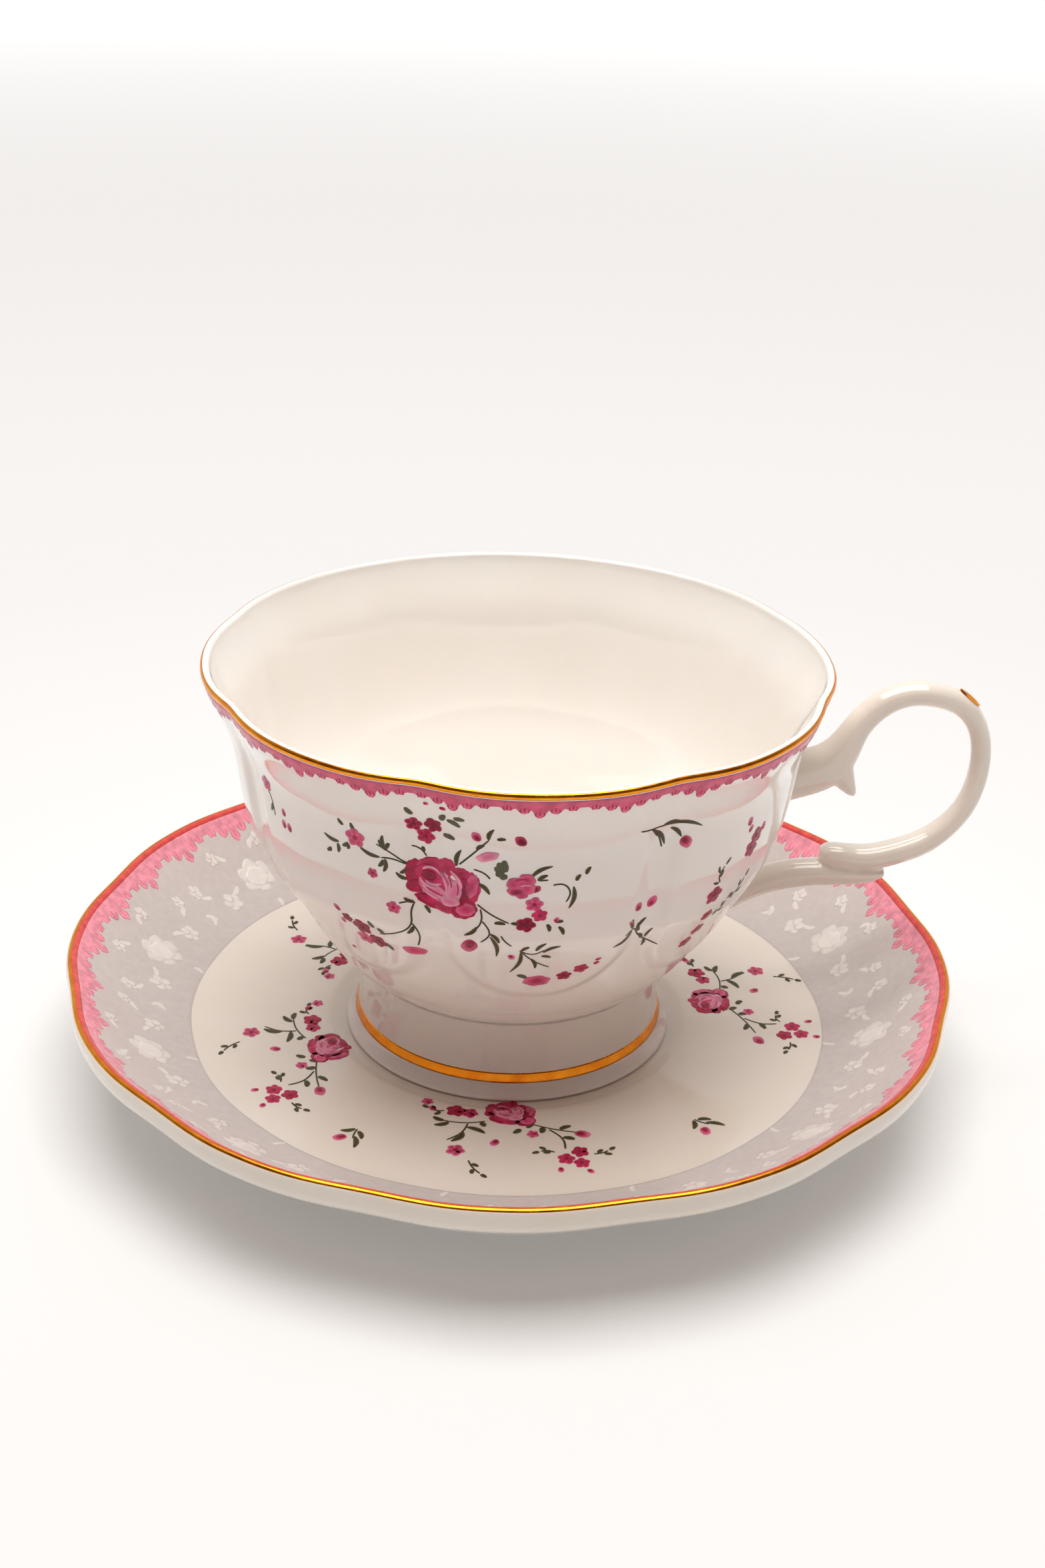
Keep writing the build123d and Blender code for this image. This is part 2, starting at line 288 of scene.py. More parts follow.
def foot_outline():
    bend = [(FOOT_RADIUS - 0.15, SEAT + 0.77), (FOOT_RADIUS - 1.05, SEAT + 1.9),
            (FOOT_RADIUS - 1.73, SEAT + 3.15), (FOOT_RADIUS - 2.2, SEAT + 5.2), (NECK_RADIUS, SEAT + 7.5)]
    flare = smooth_line(bend, 40)
    side = np.stack([np.full(12, NECK_RADIUS), np.linspace(SEAT + 7.6, NECK, 12)], 1)
    seat = [(FOOT_RADIUS - 0.7, SEAT), (FOOT_RADIUS - 0.3, SEAT + 0.1), (FOOT_RADIUS - 0.05, SEAT + 0.35)]
    inner = NECK_RADIUS - 3.6
    hollow = [(0, NECK - 0.4), (inner - 1.5, NECK - 0.4), (inner, NECK - 1.6), (inner, SEAT + 1.2),
              (inner + 0.3, SEAT + 0.4), (inner + 0.8, SEAT)]
    return np.concatenate([hollow, seat, flare, side, [(0, NECK)]])


def build_foot():
    return lathe("foot", foot_outline(), 240, lambda radius, height, angles, row: (radius, height))


# ---------------------------------------------------------------- the saucer


def flank_points():
    base = SAUCER_FLOOR + FLAT_RISE
    spread = SAUCER_RADIUS - FLAT_RADIUS
    return [(FLAT_RADIUS + out * spread, base + up * (SAUCER_LIP - base))
            for out, up in ((0, 0), (0.3, 0.17), (0.62, 0.52))]


TOP = smooth_line([(FLAT_RADIUS - 10, SAUCER_FLOOR)] + flank_points()
                  + [(SAUCER_RADIUS - 1.6, SAUCER_LIP - 0.3)], 70)


def well_slope(radius):
    """Height of the saucer's top where its floor sinks gently into the well."""
    return WELL + (SAUCER_FLOOR - WELL) * smooth_share(radius, WELL_RADIUS - 0.8, WELL_RADIUS + 1.6)


def edge_points():
    edge, lip = SAUCER_RADIUS, SAUCER_LIP
    return [(edge - 1.6, lip - 0.3), (edge - 0.85, lip), (edge - 0.15, lip - 0.5), (edge, lip - 1.5),
            (edge - 0.4, lip - SAUCER_EDGE), (edge - 1.9, lip - SAUCER_EDGE - 1.5)]


EDGE = smooth_line(edge_points(), 200)


def saucer_outline():
    edge, lip = SAUCER_RADIUS, SAUCER_LIP
    well = [(0, WELL), (10, WELL), (20, WELL)]
    step = [(radius, well_slope(radius)) for radius in np.linspace(WELL_RADIUS - 1, WELL_RADIUS + 2, 14)]
    floor = [(radius, SAUCER_FLOOR) for radius in (34, 38, 42)]
    rolled = smooth_line(edge_points(), 26)
    belly = [(radius + 0.4 * SAUCER_WALL, height - 0.85 * SAUCER_WALL)
             for radius, height in flank_points()[:0:-1]]
    under = smooth_line([(edge - 1.9, lip - SAUCER_EDGE - 1.5)] + belly
                        + [(FLAT_RADIUS - 2, FOOT_RING_HEIGHT + 1.5),
                           (FOOT_RING_RADIUS + 0.8, FOOT_RING_HEIGHT)], 50)
    inner = FOOT_RING_RADIUS - FOOT_RING_WIDTH
    ring = [(FOOT_RING_RADIUS, FOOT_RING_HEIGHT - 0.6), (FOOT_RING_RADIUS, 0.9),
            (FOOT_RING_RADIUS - 0.2, 0.35), (FOOT_RING_RADIUS - 0.7, 0), (inner + 0.9, 0),
            (inner + 0.25, 0.35), (inner, 0.9), (inner, FOOT_RING_HEIGHT - 0.5),
            (inner - 0.6, FOOT_RING_HEIGHT), (20, FOOT_RING_HEIGHT), (0, FOOT_RING_HEIGHT)]
    return np.concatenate([well, step, floor, TOP, rolled[1:], under[1:], ring])


def saucer_warp(radius, height, angles, row=0):
    share = smooth_share(radius, FLAT_RADIUS - 8, SAUCER_RADIUS)
    swing = np.abs(np.cos(SAUCER_SCALLOPS * (angles - SAUCER_TURN) / 2))
    crest = (np.hypot(swing, 1) - 1) / (math.sqrt(2) - 1)
    notch = (1 - crest) ** 1.5
    return radius - share * SAUCER_DIP * notch, height


def build_saucer():
    return lathe("saucer_plate", saucer_outline()[::-1], SAUCER_SCALLOPS * 32, saucer_warp)


SKIN = np.concatenate([TOP, EDGE[1:32]])


def saucer_height(radius):
    return np.where(radius < TOP[0, 0], well_slope(radius), np.interp(radius, SKIN[:, 0], SKIN[:, 1]))


def on_saucer(angle, radius, lift):
    """Places on the saucer's top: angle in radians, radius in mm."""
    height = saucer_height(radius)
    slope = (saucer_height(radius + 0.1) - saucer_height(radius - 0.1)) / 0.2
    length = np.hypot(1, slope)
    warped, _ = saucer_warp(radius, height, angle)
    warped = warped - lift * slope / length
    return np.stack([warped * np.cos(angle), warped * np.sin(angle), height + lift / length], -1)


# ---------------------------------------------------------------- the handle

REACH, RISE = 35.4, 40
LOWER_ROOT = 6.3
ROOT_DEPTH = 1.7                         # how far the roots reach into the bowl's wall
DEPTH, WIDTH = 4.3, 5
LOOP = [
    (-0.054, 0.63, 2.45, 1.6), (0.02, 0.635, 2.12, 1.38), (0.087, 0.645, 1.98, 1.28),
    (0.2, 0.68, 1.86, 1.2), (0.28, 0.76, 1.44, 1.08), (0.33, 0.845, 1.14, 1), (0.426, 0.945, 1.05, 1),
    (0.562, 1, 1, 1), (0.698, 0.995, 0.98, 1), (0.828, 0.947, 0.91, 0.96), (0.912, 0.855, 0.81, 0.92),
    (0.949, 0.73, 0.79, 0.9), (0.943, 0.6, 0.79, 0.9), (0.901, 0.48, 0.81, 0.92),
    (0.822, 0.385, 0.88, 0.96), (0.715, 0.312, 0.98, 1), (0.585, 0.268, 1.02, 1.02),
    (0.449, 0.245, 1.02, 1.04), (0.328, 0.255, 0.98, 1.02), (0.251, 0.27, 0.79, 0.88),
    (0.22, 0.277, 0.37, 0.48)]
ARM_START = 0.55
ARM = [
    (0.995, 0.17, 0.37, 0.48), (0.942, 0.17, 0.7, 0.84), (0.818, 0.172, 0.98, 1),
    (0.694, 0.177, 1.09, 1.04), (0.57, 0.172, 1.16, 1.04), (0.449, 0.147, 1.12, 1.04),
    (0.307, 0.098, 1.21, 1.1), (0.167, 0.045, 1.6, 1.3), (0, 0, 2.3, 1.6)]
SPUR = [
    (0.25, 0.69, 1.45, 1), (0.29, 0.628, 1, 0.86), (0.325, 0.578, 0.62, 0.62), (0.352, 0.545, 0.3, 0.34),
    (0.362, 0.535, 0.12, 0.14)]
UPPER_WALL = handle_high[0] - REACH      # radius of the bowl where the loop leaves it
LOW_ROOT = NECK + LOWER_ROOT
LOWER_WALL = float(np.interp(LOW_ROOT, OUTSIDE[:, 1], OUTSIDE[:, 0])) - 5


def tube(places, around=28, along=90):
    """Closed bar of oval sections square to the smooth line through (x, z, depth, width)."""
    line = smooth_line(places, along)
    side = aside(line[:, :2])
    turns = whole_turn(around)
    verts, faces = [], []
    for (x, z, depth, width), (out_x, out_z) in zip(line, side):
        for turn in turns:
            swing = depth / 2 * math.cos(turn)
            verts.append((x + out_x * swing, width / 2 * math.sin(turn), z + out_z * swing))
    for row in range(along - 1):
        for i in range(around):
            j = (i + 1) % around
            faces.append((row * around + i, row * around + j,
                          (row + 1) * around + j, (row + 1) * around + i))
    for row, step in ((0, -1), (along - 1, 1)):
        verts.append((line[row][0], 0, line[row][1]))
        centre = len(verts) - 1
        for i in range(around):
            j = (i + 1) % around
            pair = (row * around + i, row * around + j)
            faces.append((centre,) + (pair if step > 0 else pair[::-1]))
    return verts, faces


def handle_places(line, from_x, span):
    return [(from_x + out * span, LOW_ROOT + up * RISE, depth * DEPTH, width * WIDTH)
            for out, up, depth, width in line]


def keep_in_wall(mesh):
    """Moves what reaches through the bowl's wall back into it, so that the roots end in the wall."""
    places = np.empty(len(mesh.vertices) * 3)
    mesh.vertices.foreach_get("co", places)
    places = places.reshape(-1, 3)
    radius = np.hypot(places[:, 0], places[:, 1])
    least = (np.interp(places[:, 2] / MM, OUTSIDE[:, 1], OUTSIDE[:, 0]) - ROOT_DEPTH) * MM
    places[:, :2] *= (np.maximum(radius, least) / radius)[:, None]
    mesh.vertices.foreach_set("co", places.ravel())


def build_handle():
    """The loop, the arm and the spur, melted into one form."""
    arm_span = UPPER_WALL + ARM_START * REACH - LOWER_WALL
    verts, faces = [], []
    for places in (handle_places(LOOP, UPPER_WALL, REACH), handle_places(ARM, LOWER_WALL, arm_span),
                   handle_places(SPUR, UPPER_WALL, REACH)):
        more, sides = tube(places)
        faces += [tuple(i + len(verts) for i in side) for side in sides]
        verts += more
    rough = make_object("handle_rough", verts, faces)
    melt = rough.modifiers.new("melt", "REMESH")
    melt.mode = "VOXEL"
    melt.voxel_size = 0.32 * MM
    even = rough.modifiers.new("even", "SMOOTH")
    even.factor = 0.6
    even.iterations = 14
    graph = bpy.context.evaluated_depsgraph_get()
    mesh = bpy.data.meshes.new_from_object(rough.evaluated_get(graph))
    mesh.name = "handle"
    keep_in_wall(mesh)
    mesh.shade_smooth()
    bpy.data.objects.remove(rough)
    return add_object("handle", mesh)


# ---------------------------------------------------------------- gilding


def band(name, rows, columns, place):
    """Thin closed ring of gold: rows of (run, lift) across it, place(angle, run, lift) on the ware."""
    angles = whole_turn(columns)
    verts = np.concatenate([place(angles, np.full(columns, run), lift) for run, lift in rows])
    count = len(rows)
    faces = []
    for row in range(count):
        ahead = (row + 1) % count
        for i in range(columns):
            j = (i + 1) % columns
            faces.append((row * columns + i, row * columns + j, ahead * columns + j, ahead * columns + i))
    return make_object(name, verts, faces)


def band_rows(start, end, lift=0.05, steps=6):
    """Section of a gold line: a low crown, closed by a face sunk into the ware."""
    across = np.linspace(0, 1, steps + 1)
    crown = [(start + (end - start) * t, lift * (0.35 + 0.65 * math.sin(math.pi * t) ** 0.5))
             for t in across]
    return crown + [(end, -0.05), (start, -0.05)]


def on_rim(angle, run, lift):
    """As on_bowl, but run goes on over the lip: 0 is its outermost place, below it is minus."""
    if run[0] <= 0:
        return on_bowl(angle, OUTSIDE_RUN[-1] + run, lift)
    turn = run / LIP
    radius = RIM_RADIUS - LIP + (LIP + lift) * np.cos(turn)
    height = RIM - LIP + (LIP + lift) * np.sin(turn)
    radius = bowl_warp(radius, np.minimum(height, RIM), angle)[0]
    height = height + RIM_RISE * notch_share(angle)
    return np.stack([radius * np.cos(angle), radius * np.sin(angle), height], -1)


def on_saucer_edge(angle, run, lift):
    """On the rolled edge near its top: run is the radius with a minus sign."""
    roll = EDGE[:np.argmax(EDGE[:, 0])]
    height = np.interp(-run, roll[:, 0], roll[:, 1])
    radius, height = saucer_warp(-run, height + lift, angle)
    return np.stack([radius * np.cos(angle), radius * np.sin(angle), height], -1)


def on_foot(angle, run, lift):
    """On the foot's flare: run is the height."""
    outline = foot_outline()[9:49]
    radius = np.interp(run, outline[:, 1], outline[:, 0]) + lift
    return np.stack([radius * np.cos(angle), radius * np.sin(angle), run + 0 * angle], -1)


# ---------------------------------------------------------------- materials


def tone(red, green, blue):
    """Linear colour of an 8-bit screen colour."""
    return tuple(c / 12.92 if c <= 0.04045 else ((c + 0.055) / 1.055) ** 2.4
                 for c in (red / 255, green / 255, blue / 255))


def set_inputs(node, **values):
    """Sets a node's sockets; an _ in a name stands for a space."""
    for socket, value in values.items():
        node.inputs[socket.replace("_", " ")].default_value = value
    return node


def add_node(tree, kind, **values):
    return set_inputs(tree.nodes.new(kind), **values)


def new_material(name, colour, **values):
    material = bpy.data.materials.new(name)
    material.use_nodes = True
    shader = material.node_tree.nodes["Principled BSDF"]
    set_inputs(shader, Base_Color=(*colour, 1), **values)
    return material, material.node_tree, shader


def noise_output(tree, scale, detail):
    """Noise in the object's own coordinates."""
    place = add_node(tree, "ShaderNodeTexCoord")
    noise = add_node(tree, "ShaderNodeTexNoise", Scale=scale, Detail=detail)
    tree.links.new(place.outputs["Object"], noise.inputs["Vector"])
    return noise.outputs["Fac"]


def add_noise(tree, scale, detail, low, high, socket):
    """Drives a socket from noise, spread from low to high."""
    noise = noise_output(tree, scale, detail)
    spread = add_node(tree, "ShaderNodeMapRange", From_Min=0.3, From_Max=0.7, To_Min=low, To_Max=high)
    tree.links.new(noise, spread.inputs["Value"])
    tree.links.new(spread.outputs["Result"], socket)


def add_mottling(tree, shader, colour, shade, scale, detail):
    """Base colour that wanders between two tones."""
    mix = tree.nodes.new("ShaderNodeMix")
    mix.data_type = "RGBA"
    set_inputs(mix, A=(*colour, 1), B=(*shade, 1))
    add_noise(tree, scale, detail, 0, 1, mix.inputs["Factor"])
    tree.links.new(mix.outputs["Result"], shader.inputs["Base Color"])


def add_bump(tree, shader, scale, distance):
    noise = noise_output(tree, scale, 2)
    bump = add_node(tree, "ShaderNodeBump", Strength=1, Distance=distance)
    tree.links.new(noise, bump.inputs["Height"])
    tree.links.new(bump.outputs["Normal"], shader.inputs["Normal"])


def porcelain(name, colour, shade):
    """Glazed bone china: faintly cloudy, with the slight ripple of a fired glaze."""
    material, tree, shader = new_material(
        name, colour, Roughness=0.1, IOR=1.5, Coat_Weight=0.6, Coat_Roughness=0.04,
        Subsurface_Weight=0.12, Subsurface_Scale=0.002, Subsurface_Radius=(1, 0.7, 0.5))
    add_mottling(tree, shader, colour, shade, 45, 4)
    add_noise(tree, 160, 3, 0.07, 0.14, shader.inputs["Roughness"])
    add_bump(tree, shader, 90, 0.00002)
    return material


def gold():
    """Burnished gold lustre: brushed on by hand, so a little uneven."""
    material, tree, shader = new_material("gold_lustre", tone(240, 160, 60), Metallic=1, Roughness=0.18)
    add_mottling(tree, shader, tone(250, 164, 44), tone(236, 138, 28), 300, 3)
    add_noise(tree, 500, 2, 0.16, 0.3, shader.inputs["Roughness"])
    add_bump(tree, shader, 900, 0.00001)
    return material


def wear(piece, *materials):
    piece.data.materials.clear()
    for material in materials:
        piece.data.materials.append(material)


def place_on(piece, body, slot, *materials):
    wear(piece, *materials)
    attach(piece, body)


# ---------------------------------------------------------------- printed decoration

DEEP, CRIMSON, ROSE, PINK, BLUSH = (tone(*c) for c in (
    (122, 4, 44), (178, 14, 68), (212, 50, 104), (228, 112, 152), (240, 168, 192)))
LEAF, LEAF_EDGE, STEM, SHADOW_LEAF = (tone(*c) for c in (
    (64, 58, 24), (106, 98, 60), (64, 54, 26), (86, 90, 70)))
LACE, LACE_LINE = tone(222, 100, 132), tone(184, 36, 82)
PALE_LACE, PALE_LACE_LINE, CORAL = tone(238, 152, 168), tone(228, 126, 150), tone(216, 78, 74)
PEARL, PEARL_EDGE, BAND_GREY = tone(234, 227, 221), tone(222, 215, 210), tone(208, 199, 195)
SPRAY_RADIUS = 45                      # motifs of the bowl are spaced as on this radius
SPRAY_RUN = 40.8                         # how far up the outside from the neck its roses lie
PRINT_LIFT, PRINT_STEP = 0.025, 0.012    # lowest colour above the glaze, and each next one
SUNK = -0.03                             # edges of the patches end under the glaze


ROSE_GUARDS = [
    (4.1, 0.3, 1.75, 3, -6), (-3.9, 1.3, 1.7, 2.7, 8), (-1.7, 3.4, 2.2, 1.35, 18),
    (-1.3, -3.3, 3.2, 1.35, -14), (0.7, 3.6, 1.4, 1.8, -25), (3.2, -3.5, 2.2, 1.9, 20),
    (3.1, 2.7, 1.5, 1.2, -30), (-4.2, -0.9, 1.4, 1.2, 0), (0.3, -3.9, 1.7, 1, 0)]
# a, b, half width, half height, turn, heart, edge, layer, ruffle, lobes
ROSE_PETALS = [
    (3.6, -3.6, 1.5, 1.2, 20, ROSE, PINK, 4, 0.05, 7), (4.6, 0.9, 0.9, 2.1, -8, ROSE, PINK, 4, 0.05, 7),
    (-1.2, -3.1, 2.5, 0.75, -14, ROSE, CRIMSON, 4, 0.05, 9),
    (2.9, -0.6, 1.3, 2.8, -14, DEEP, CRIMSON, 4, 0.03, 5),
    (-0.3, -0.2, 3.5, 2.7, -24, ROSE, PINK, 5, 0.03, 6),
    (-2.1, 1.7, 2.1, 1.75, -10, CRIMSON, ROSE, 6, 0.03, 6),
    (-2, 1.5, 1.25, 0.95, -8, DEEP, CRIMSON, 7, 0.03, 5),
    (1.9, -0.5, 1.1, 2.2, -16, PINK, BLUSH, 7, 0.04, 5),
    (1.2, -2.4, 1.6, 0.9, 8, PINK, BLUSH, 8, 0.05, 4),
    (-0.9, -1.2, 2.3, 1.1, -22, PINK, BLUSH, 6, 0.03, 5)]
PALE_FOLDS = [
    [(-3.6, 1.2), (-3.1, 0.1), (-1.8, -0.6), (-0.4, -0.8)],
    [(-3.2, 2.2), (-2.2, 3), (-0.8, 2.7), (0.1, 1.6)], [(-2.9, 0.7), (-1.9, 0), (-0.7, 0.1), (0.2, 0.5)],
    [(0.4, 2.9), (1.2, 1.8), (1.6, 0.6), (1.7, -0.6)], [(-0.2, 2.4), (0.5, 1.2), (0.8, 0), (0.7, -1.4)],
    [(1.3, 3.4), (2.3, 2.4), (2.9, 1.2), (3.2, 0.1)], [(-3.4, -1), (-2, -2), (-0.4, -2.6)]]
DARK_FOLDS = [
    [(-3.3, 1.7), (-2.6, 0.8), (-1.4, 0.6), (-0.9, 1.3)], [(0.9, 2.6), (1.5, 1.2), (1.6, -0.2)],
    [(2.3, 1.5), (2.6, 0.2), (2.3, -1.4)], [(-2.8, -0.4), (-1.2, -1.5), (0.5, -1.7)]]


class Print:
    """Coloured patches lying on the ware, gathered into one mesh."""

    def __init__(self, surface, radius):
        self.surface, self.radius = surface, radius
        self.verts, self.faces, self.colours, self.count = [], [], [], 0

    def pen(self, angle, run, turn=0, scale=1):
        return Pen(self, math.radians(angle), run, math.radians(turn), scale)

    def grid(self, places, colours, closed):
        """Quads over rows of places; closed joins each row's last place to its first."""
        rows, columns = places.shape[:2]
        self.verts.append(places.reshape(-1, 3))
        self.colours.append(colours.reshape(-1, 3))
        for row in range(rows - 1):
            for i in range(columns if closed else columns - 1):
                j = (i + 1) % columns
                base = self.count + row * columns
                self.faces.append((base + i, base + j, base + columns + j, base + columns + i))
        self.count += rows * columns

    def finish(self, name, material, body):
        piece = make_object(name, np.concatenate(self.verts), self.faces)
        layer = piece.data.color_attributes.new("Print", "FLOAT_COLOR", "POINT")
        colours = np.concatenate(self.colours)
        layer.data.foreach_set("color", np.c_[colours, np.ones(len(colours))].ravel())
        place_on(piece, body, "decoration", material)


class Pen:
    """Draws in millimetres about an anchor on the ware: a to the right, b up."""

    def __init__(self, sheet, angle, run, turn, scale):
        self.sheet, self.angle, self.run, self.turn, self.scale = sheet, angle, run, turn, scale
        self.bend = float(sheet.radius(run))

    def spot(self, a, b, lift):
        cos, sin = math.cos(self.turn) * self.scale, math.sin(self.turn) * self.scale
        angle = self.angle + (a * cos - b * sin) / self.bend
        return self.sheet.surface(angle, self.run + a * sin + b * cos, lift)

    def blob(self, a, b, wide, high, turn=0, inner=ROSE, outer=CRIMSON, layer=0, ruffle=0.05, lobes=5,
             lean=0, egg=0):
        """Petal: an oval wide by high (half sizes), coloured from its heart, leant aside, to its edge."""
        size = max(wide, high) * self.scale
        spokes = int(np.clip(size * 14, 12, 40))
        shares = np.array([0.02] + list(np.linspace(0, 1, max(3, int(size / 0.45)) + 1)[1:]) + [1.03])
        turns = whole_turn(spokes)
        edge = 1 + ruffle * np.sin(lobes * turns + 3 * a + 5 * b) + egg * np.sin(turns)
        cos, sin = math.cos(math.radians(turn)), math.sin(math.radians(turn))
        x = wide * shares[:, None] * edge * np.cos(turns)
        y = high * shares[:, None] * edge * np.sin(turns)
        lift = np.full((len(shares), spokes), PRINT_LIFT + layer * PRINT_STEP)
        lift[-1] = SUNK
        share = shares[:, None] * (1 - lean * np.sin(turns))
        share = np.clip(share, 0, 1)[..., None] ** 1.6
        colours = np.array(inner) * (1 - share) + np.array(outer) * share
        self.sheet.grid(self.spot(a + x * cos - y * sin, b + x * sin + y * cos, lift), colours, True)

    def stroke(self, points, width, inner=STEM, outer=None, layer=0, start=0.6, end=0.5, belly=0):
        """Painted line; belly 1 makes it a leaf, widest in the middle and pointed at both ends."""
        points = np.array(points, float)
        length = np.linalg.norm(np.diff(points, axis=0), axis=1).sum() * self.scale
        line = smooth_line(points, max(5, int(length / 0.4))) if len(points) > 2 else \
            np.linspace(points[0], points[-1], max(5, int(length / 0.4)))
        side = aside(line)
        along = np.linspace(0, 1, len(line))
        plain = np.minimum(1, np.minimum(start + along * 6, end + (1 - along) * 4))
        leaf = np.maximum(np.sin(math.pi * along ** 0.9) ** 0.8, 0.04)
        half = width / 2 * (plain * (1 - belly) + leaf * belly)
        across = np.array([-1.05, -0.95, -0.5, 0, 0.5, 0.95, 1.05])
        lift = np.full((len(line), len(across)), PRINT_LIFT + layer * PRINT_STEP)
        lift[:, 0] = lift[:, -1] = lift[0] = lift[-1] = SUNK
        places = line[:, None] + side[:, None] * (half[:, None] * across)[..., None]
        share = (np.abs(across) * np.ones((len(line), 1)))[..., None] ** 2
        share = np.clip(share, 0, 1)
        colours = np.array(inner) * (1 - share) + np.array(outer or inner) * share
        self.sheet.grid(self.spot(places[..., 0], places[..., 1], lift), colours, False)

    def leaf(self, a, b, to_a, to_b, width=0.9, bow=0.12, inner=LEAF, outer=LEAF_EDGE, layer=1):
        middle = ((a + to_a) / 2 - bow * (to_b - b), (b + to_b) / 2 + bow * (to_a - a))
        self.stroke([(a, b), middle, (to_a, to_b)], width, inner, outer, layer, belly=1)

    def leaves(self, rows, *look):
        """Leaves of one look from rows of (a, b) and (a, b) of their two ends."""
        for row in rows:
            self.leaf(*row, *look)

    def stem(self, *points, width=0.28):
        self.stroke(points, width, STEM, STEM)

    def sprig(self, points, leaves, size=1.5, width=0.28, leaf_width=0.55):
        """Stem with leaves, each given as (share along the stem, side)."""
        self.stem(*points, width=width)
        line = smooth_line(points, 40) if len(points) > 2 else np.linspace(points[0], points[-1], 40)
        for share, side in leaves:
            i = int(share * 39)
            run = line[min(i + 1, 39)] - line[max(i - 1, 0)]
            turn = math.atan2(run[1], run[0]) + math.radians(38 * side)
            self.leaf(line[i][0], line[i][1], line[i][0] + size * math.cos(turn),
                      line[i][1] + size * math.sin(turn), leaf_width, 0.12 * side)

    def blossom(self, a, b, size, turn=0, inner=DEEP, outer=ROSE):
        """Small flower: five round petals about a dark heart."""
        for petal in range(5):
            way = math.radians(turn) + petal * 2 * math.pi / 5
            self.blob(a + 0.52 * size * math.cos(way), b + 0.52 * size * math.sin(way),
                      0.5 * size, 0.46 * size, math.degrees(way), inner, outer, 2 + petal % 2, 0.07, 3)
        self.blob(a, b, 0.3 * size, 0.28 * size, 0, DEEP, inner, 4)

    def bud(self, a, b, size, turn=90, inner=CRIMSON, outer=PINK):
        """Closed bud: darker where it sits on its stalk, lighter at its tip."""
        self.blob(a, b, 0.62 * size, 0.85 * size, turn - 90, inner, outer, 1, 0.04, 4, -0.5, -0.12)
        way = math.radians(turn)
        self.blob(a - 0.35 * size * math.cos(way), b - 0.35 * size * math.sin(way),
                  0.3 * size, 0.42 * size, turn - 80, DEEP, inner, 2)

    def rose(self):
        """Full rose about 11 mm across: dark guard petals, a pink cup and a curled heart."""
        for step, (a, b, wide, high, turn) in enumerate(ROSE_GUARDS):
            self.blob(a, b, wide, high, turn, CRIMSON, (ROSE, CRIMSON)[step % 2], step % 3, 0.045, 9)
        for petal in ROSE_PETALS:
            self.blob(*petal)
        for step, fold in enumerate(PALE_FOLDS):
            self.stroke(fold, 0.55, BLUSH, PINK, 9 + step % 2, 0.1, 0.1, 0.6)
        for fold in DARK_FOLDS:
            self.stroke(fold, 0.22, CRIMSON, ROSE, 11, 0.1, 0.1, 0.4)


# the bowl's main spray, in millimetres from its rose: a to the right, b up
SPRAY_STEMS = [
    [(-4.6, 2.8), (-7.4, 4.4), (-10.2, 5.6)], [(-4.4, 2.6), (-7.2, 3.5), (-9.6, 3.2)],
    [(-2.2, 4.6), (-3, 5.8), (-4.8, 6.4)], [(2.6, 4.4), (4.8, 6.8), (7.2, 9.8)],
    [(4.6, 4), (6.6, 3.2), (7.4, 2.2)], [(14, 2.4), (15.9, 2.5)],
    [(16.2, 1.5), (18, 1.6), (19, 0.2), (18.4, -1.8)], [(5.2, -2.2), (7.6, -4.2), (10.4, -5.8)],
    [(5.8, -3), (6, -5.4), (5, -7.4), (3.4, -8.6)], [(6, -5.4), (7.2, -8.2), (5.6, -10.4)],
    [(8.9, -8.2), (9.6, -9.6), (10.9, -11)], [(11.8, -11.8), (14.2, -12.9), (16.2, -11.6)],
    [(12.4, -12.4), (14.4, -14.8), (17.6, -17)],
    [(-4.4, -3.6), (-5.2, -6), (-5.4, -8.2), (-7.8, -11), (-12.4, -13.2)],
    [(-5.4, -8.2), (-4.6, -11), (-5.4, -14.2)], [(-4.4, -3.6), (-6.4, -4.2), (-7.2, -4.6)]]
SPRAY_LEAVES = [
    (-5, 2.6, -6.6, 1.2), (-9.3, 3.3, -13.2, 4.4), (-8.7, 3.4, -9.2, 0.6), (-8.9, 3.2, -10.1, 1.4),
    (-8, 4.7, -9.6, 6.6), (-8.6, 5, -8.7, 7.6), (-8.4, 4.9, -7.6, 6.3), (-2.6, 5.4, -2.7, 6.6),
    (-5, 0.3, -7.2, 1.4), (2.4, 4, 3.2, 7.4), (7, 9.4, 7.9, 12.2), (5.2, 7.4, 6.6, 8.6),
    (8, 9.7, 9.6, 9.9), (5.2, 1.6, 7.3, -0.6), (13, 2.8, 16.4, 5), (14, 2.2, 15.8, 3.4),
    (19.4, 1.4, 18.9, -3), (21.2, 3, 21.9, 4.7), (19.8, 2, 20.5, 3.4), (10.2, -5.7, 12.4, -6.3),
    (7.7, -5.9, 9.9, -6), (5.4, -6.6, 3, -9), (7.1, -8, 8.8, -10.4), (7.2, -8.6, 8.2, -14),
    (15.8, -5.6, 16.4, -7.6), (17.6, -6.2, 18.7, -8.4), (17, -5.5, 18.6, -5.4), (14.6, -12.2, 16.4, -10),
    (15.7, -12.6, 18.8, -10.9), (12.2, -12.2, 13.8, -10.9), (15.4, -13.5, 17.5, -14.1),
    (13.8, -14, 14.9, -17.4), (12.2, -11.6, 10.4, -18.6), (-5.2, -8.8, -6.6, -11), (-4.4, -4, -6.2, -3),
    (-3.2, -4.2, -2.2, -6), (-16.4, 3.9, -19.6, 4.6), (-17, 3.7, -17.1, 1.6), (-18.2, 2.4, -19.4, 1.4),
    (-14.8, 4.4, -16.3, 3.3), (-15, 4.2, -15.2, 2.9), (-15.2, 7.2, -16.2, 8.5), (-13.4, 6.8, -13.9, 8.4)]
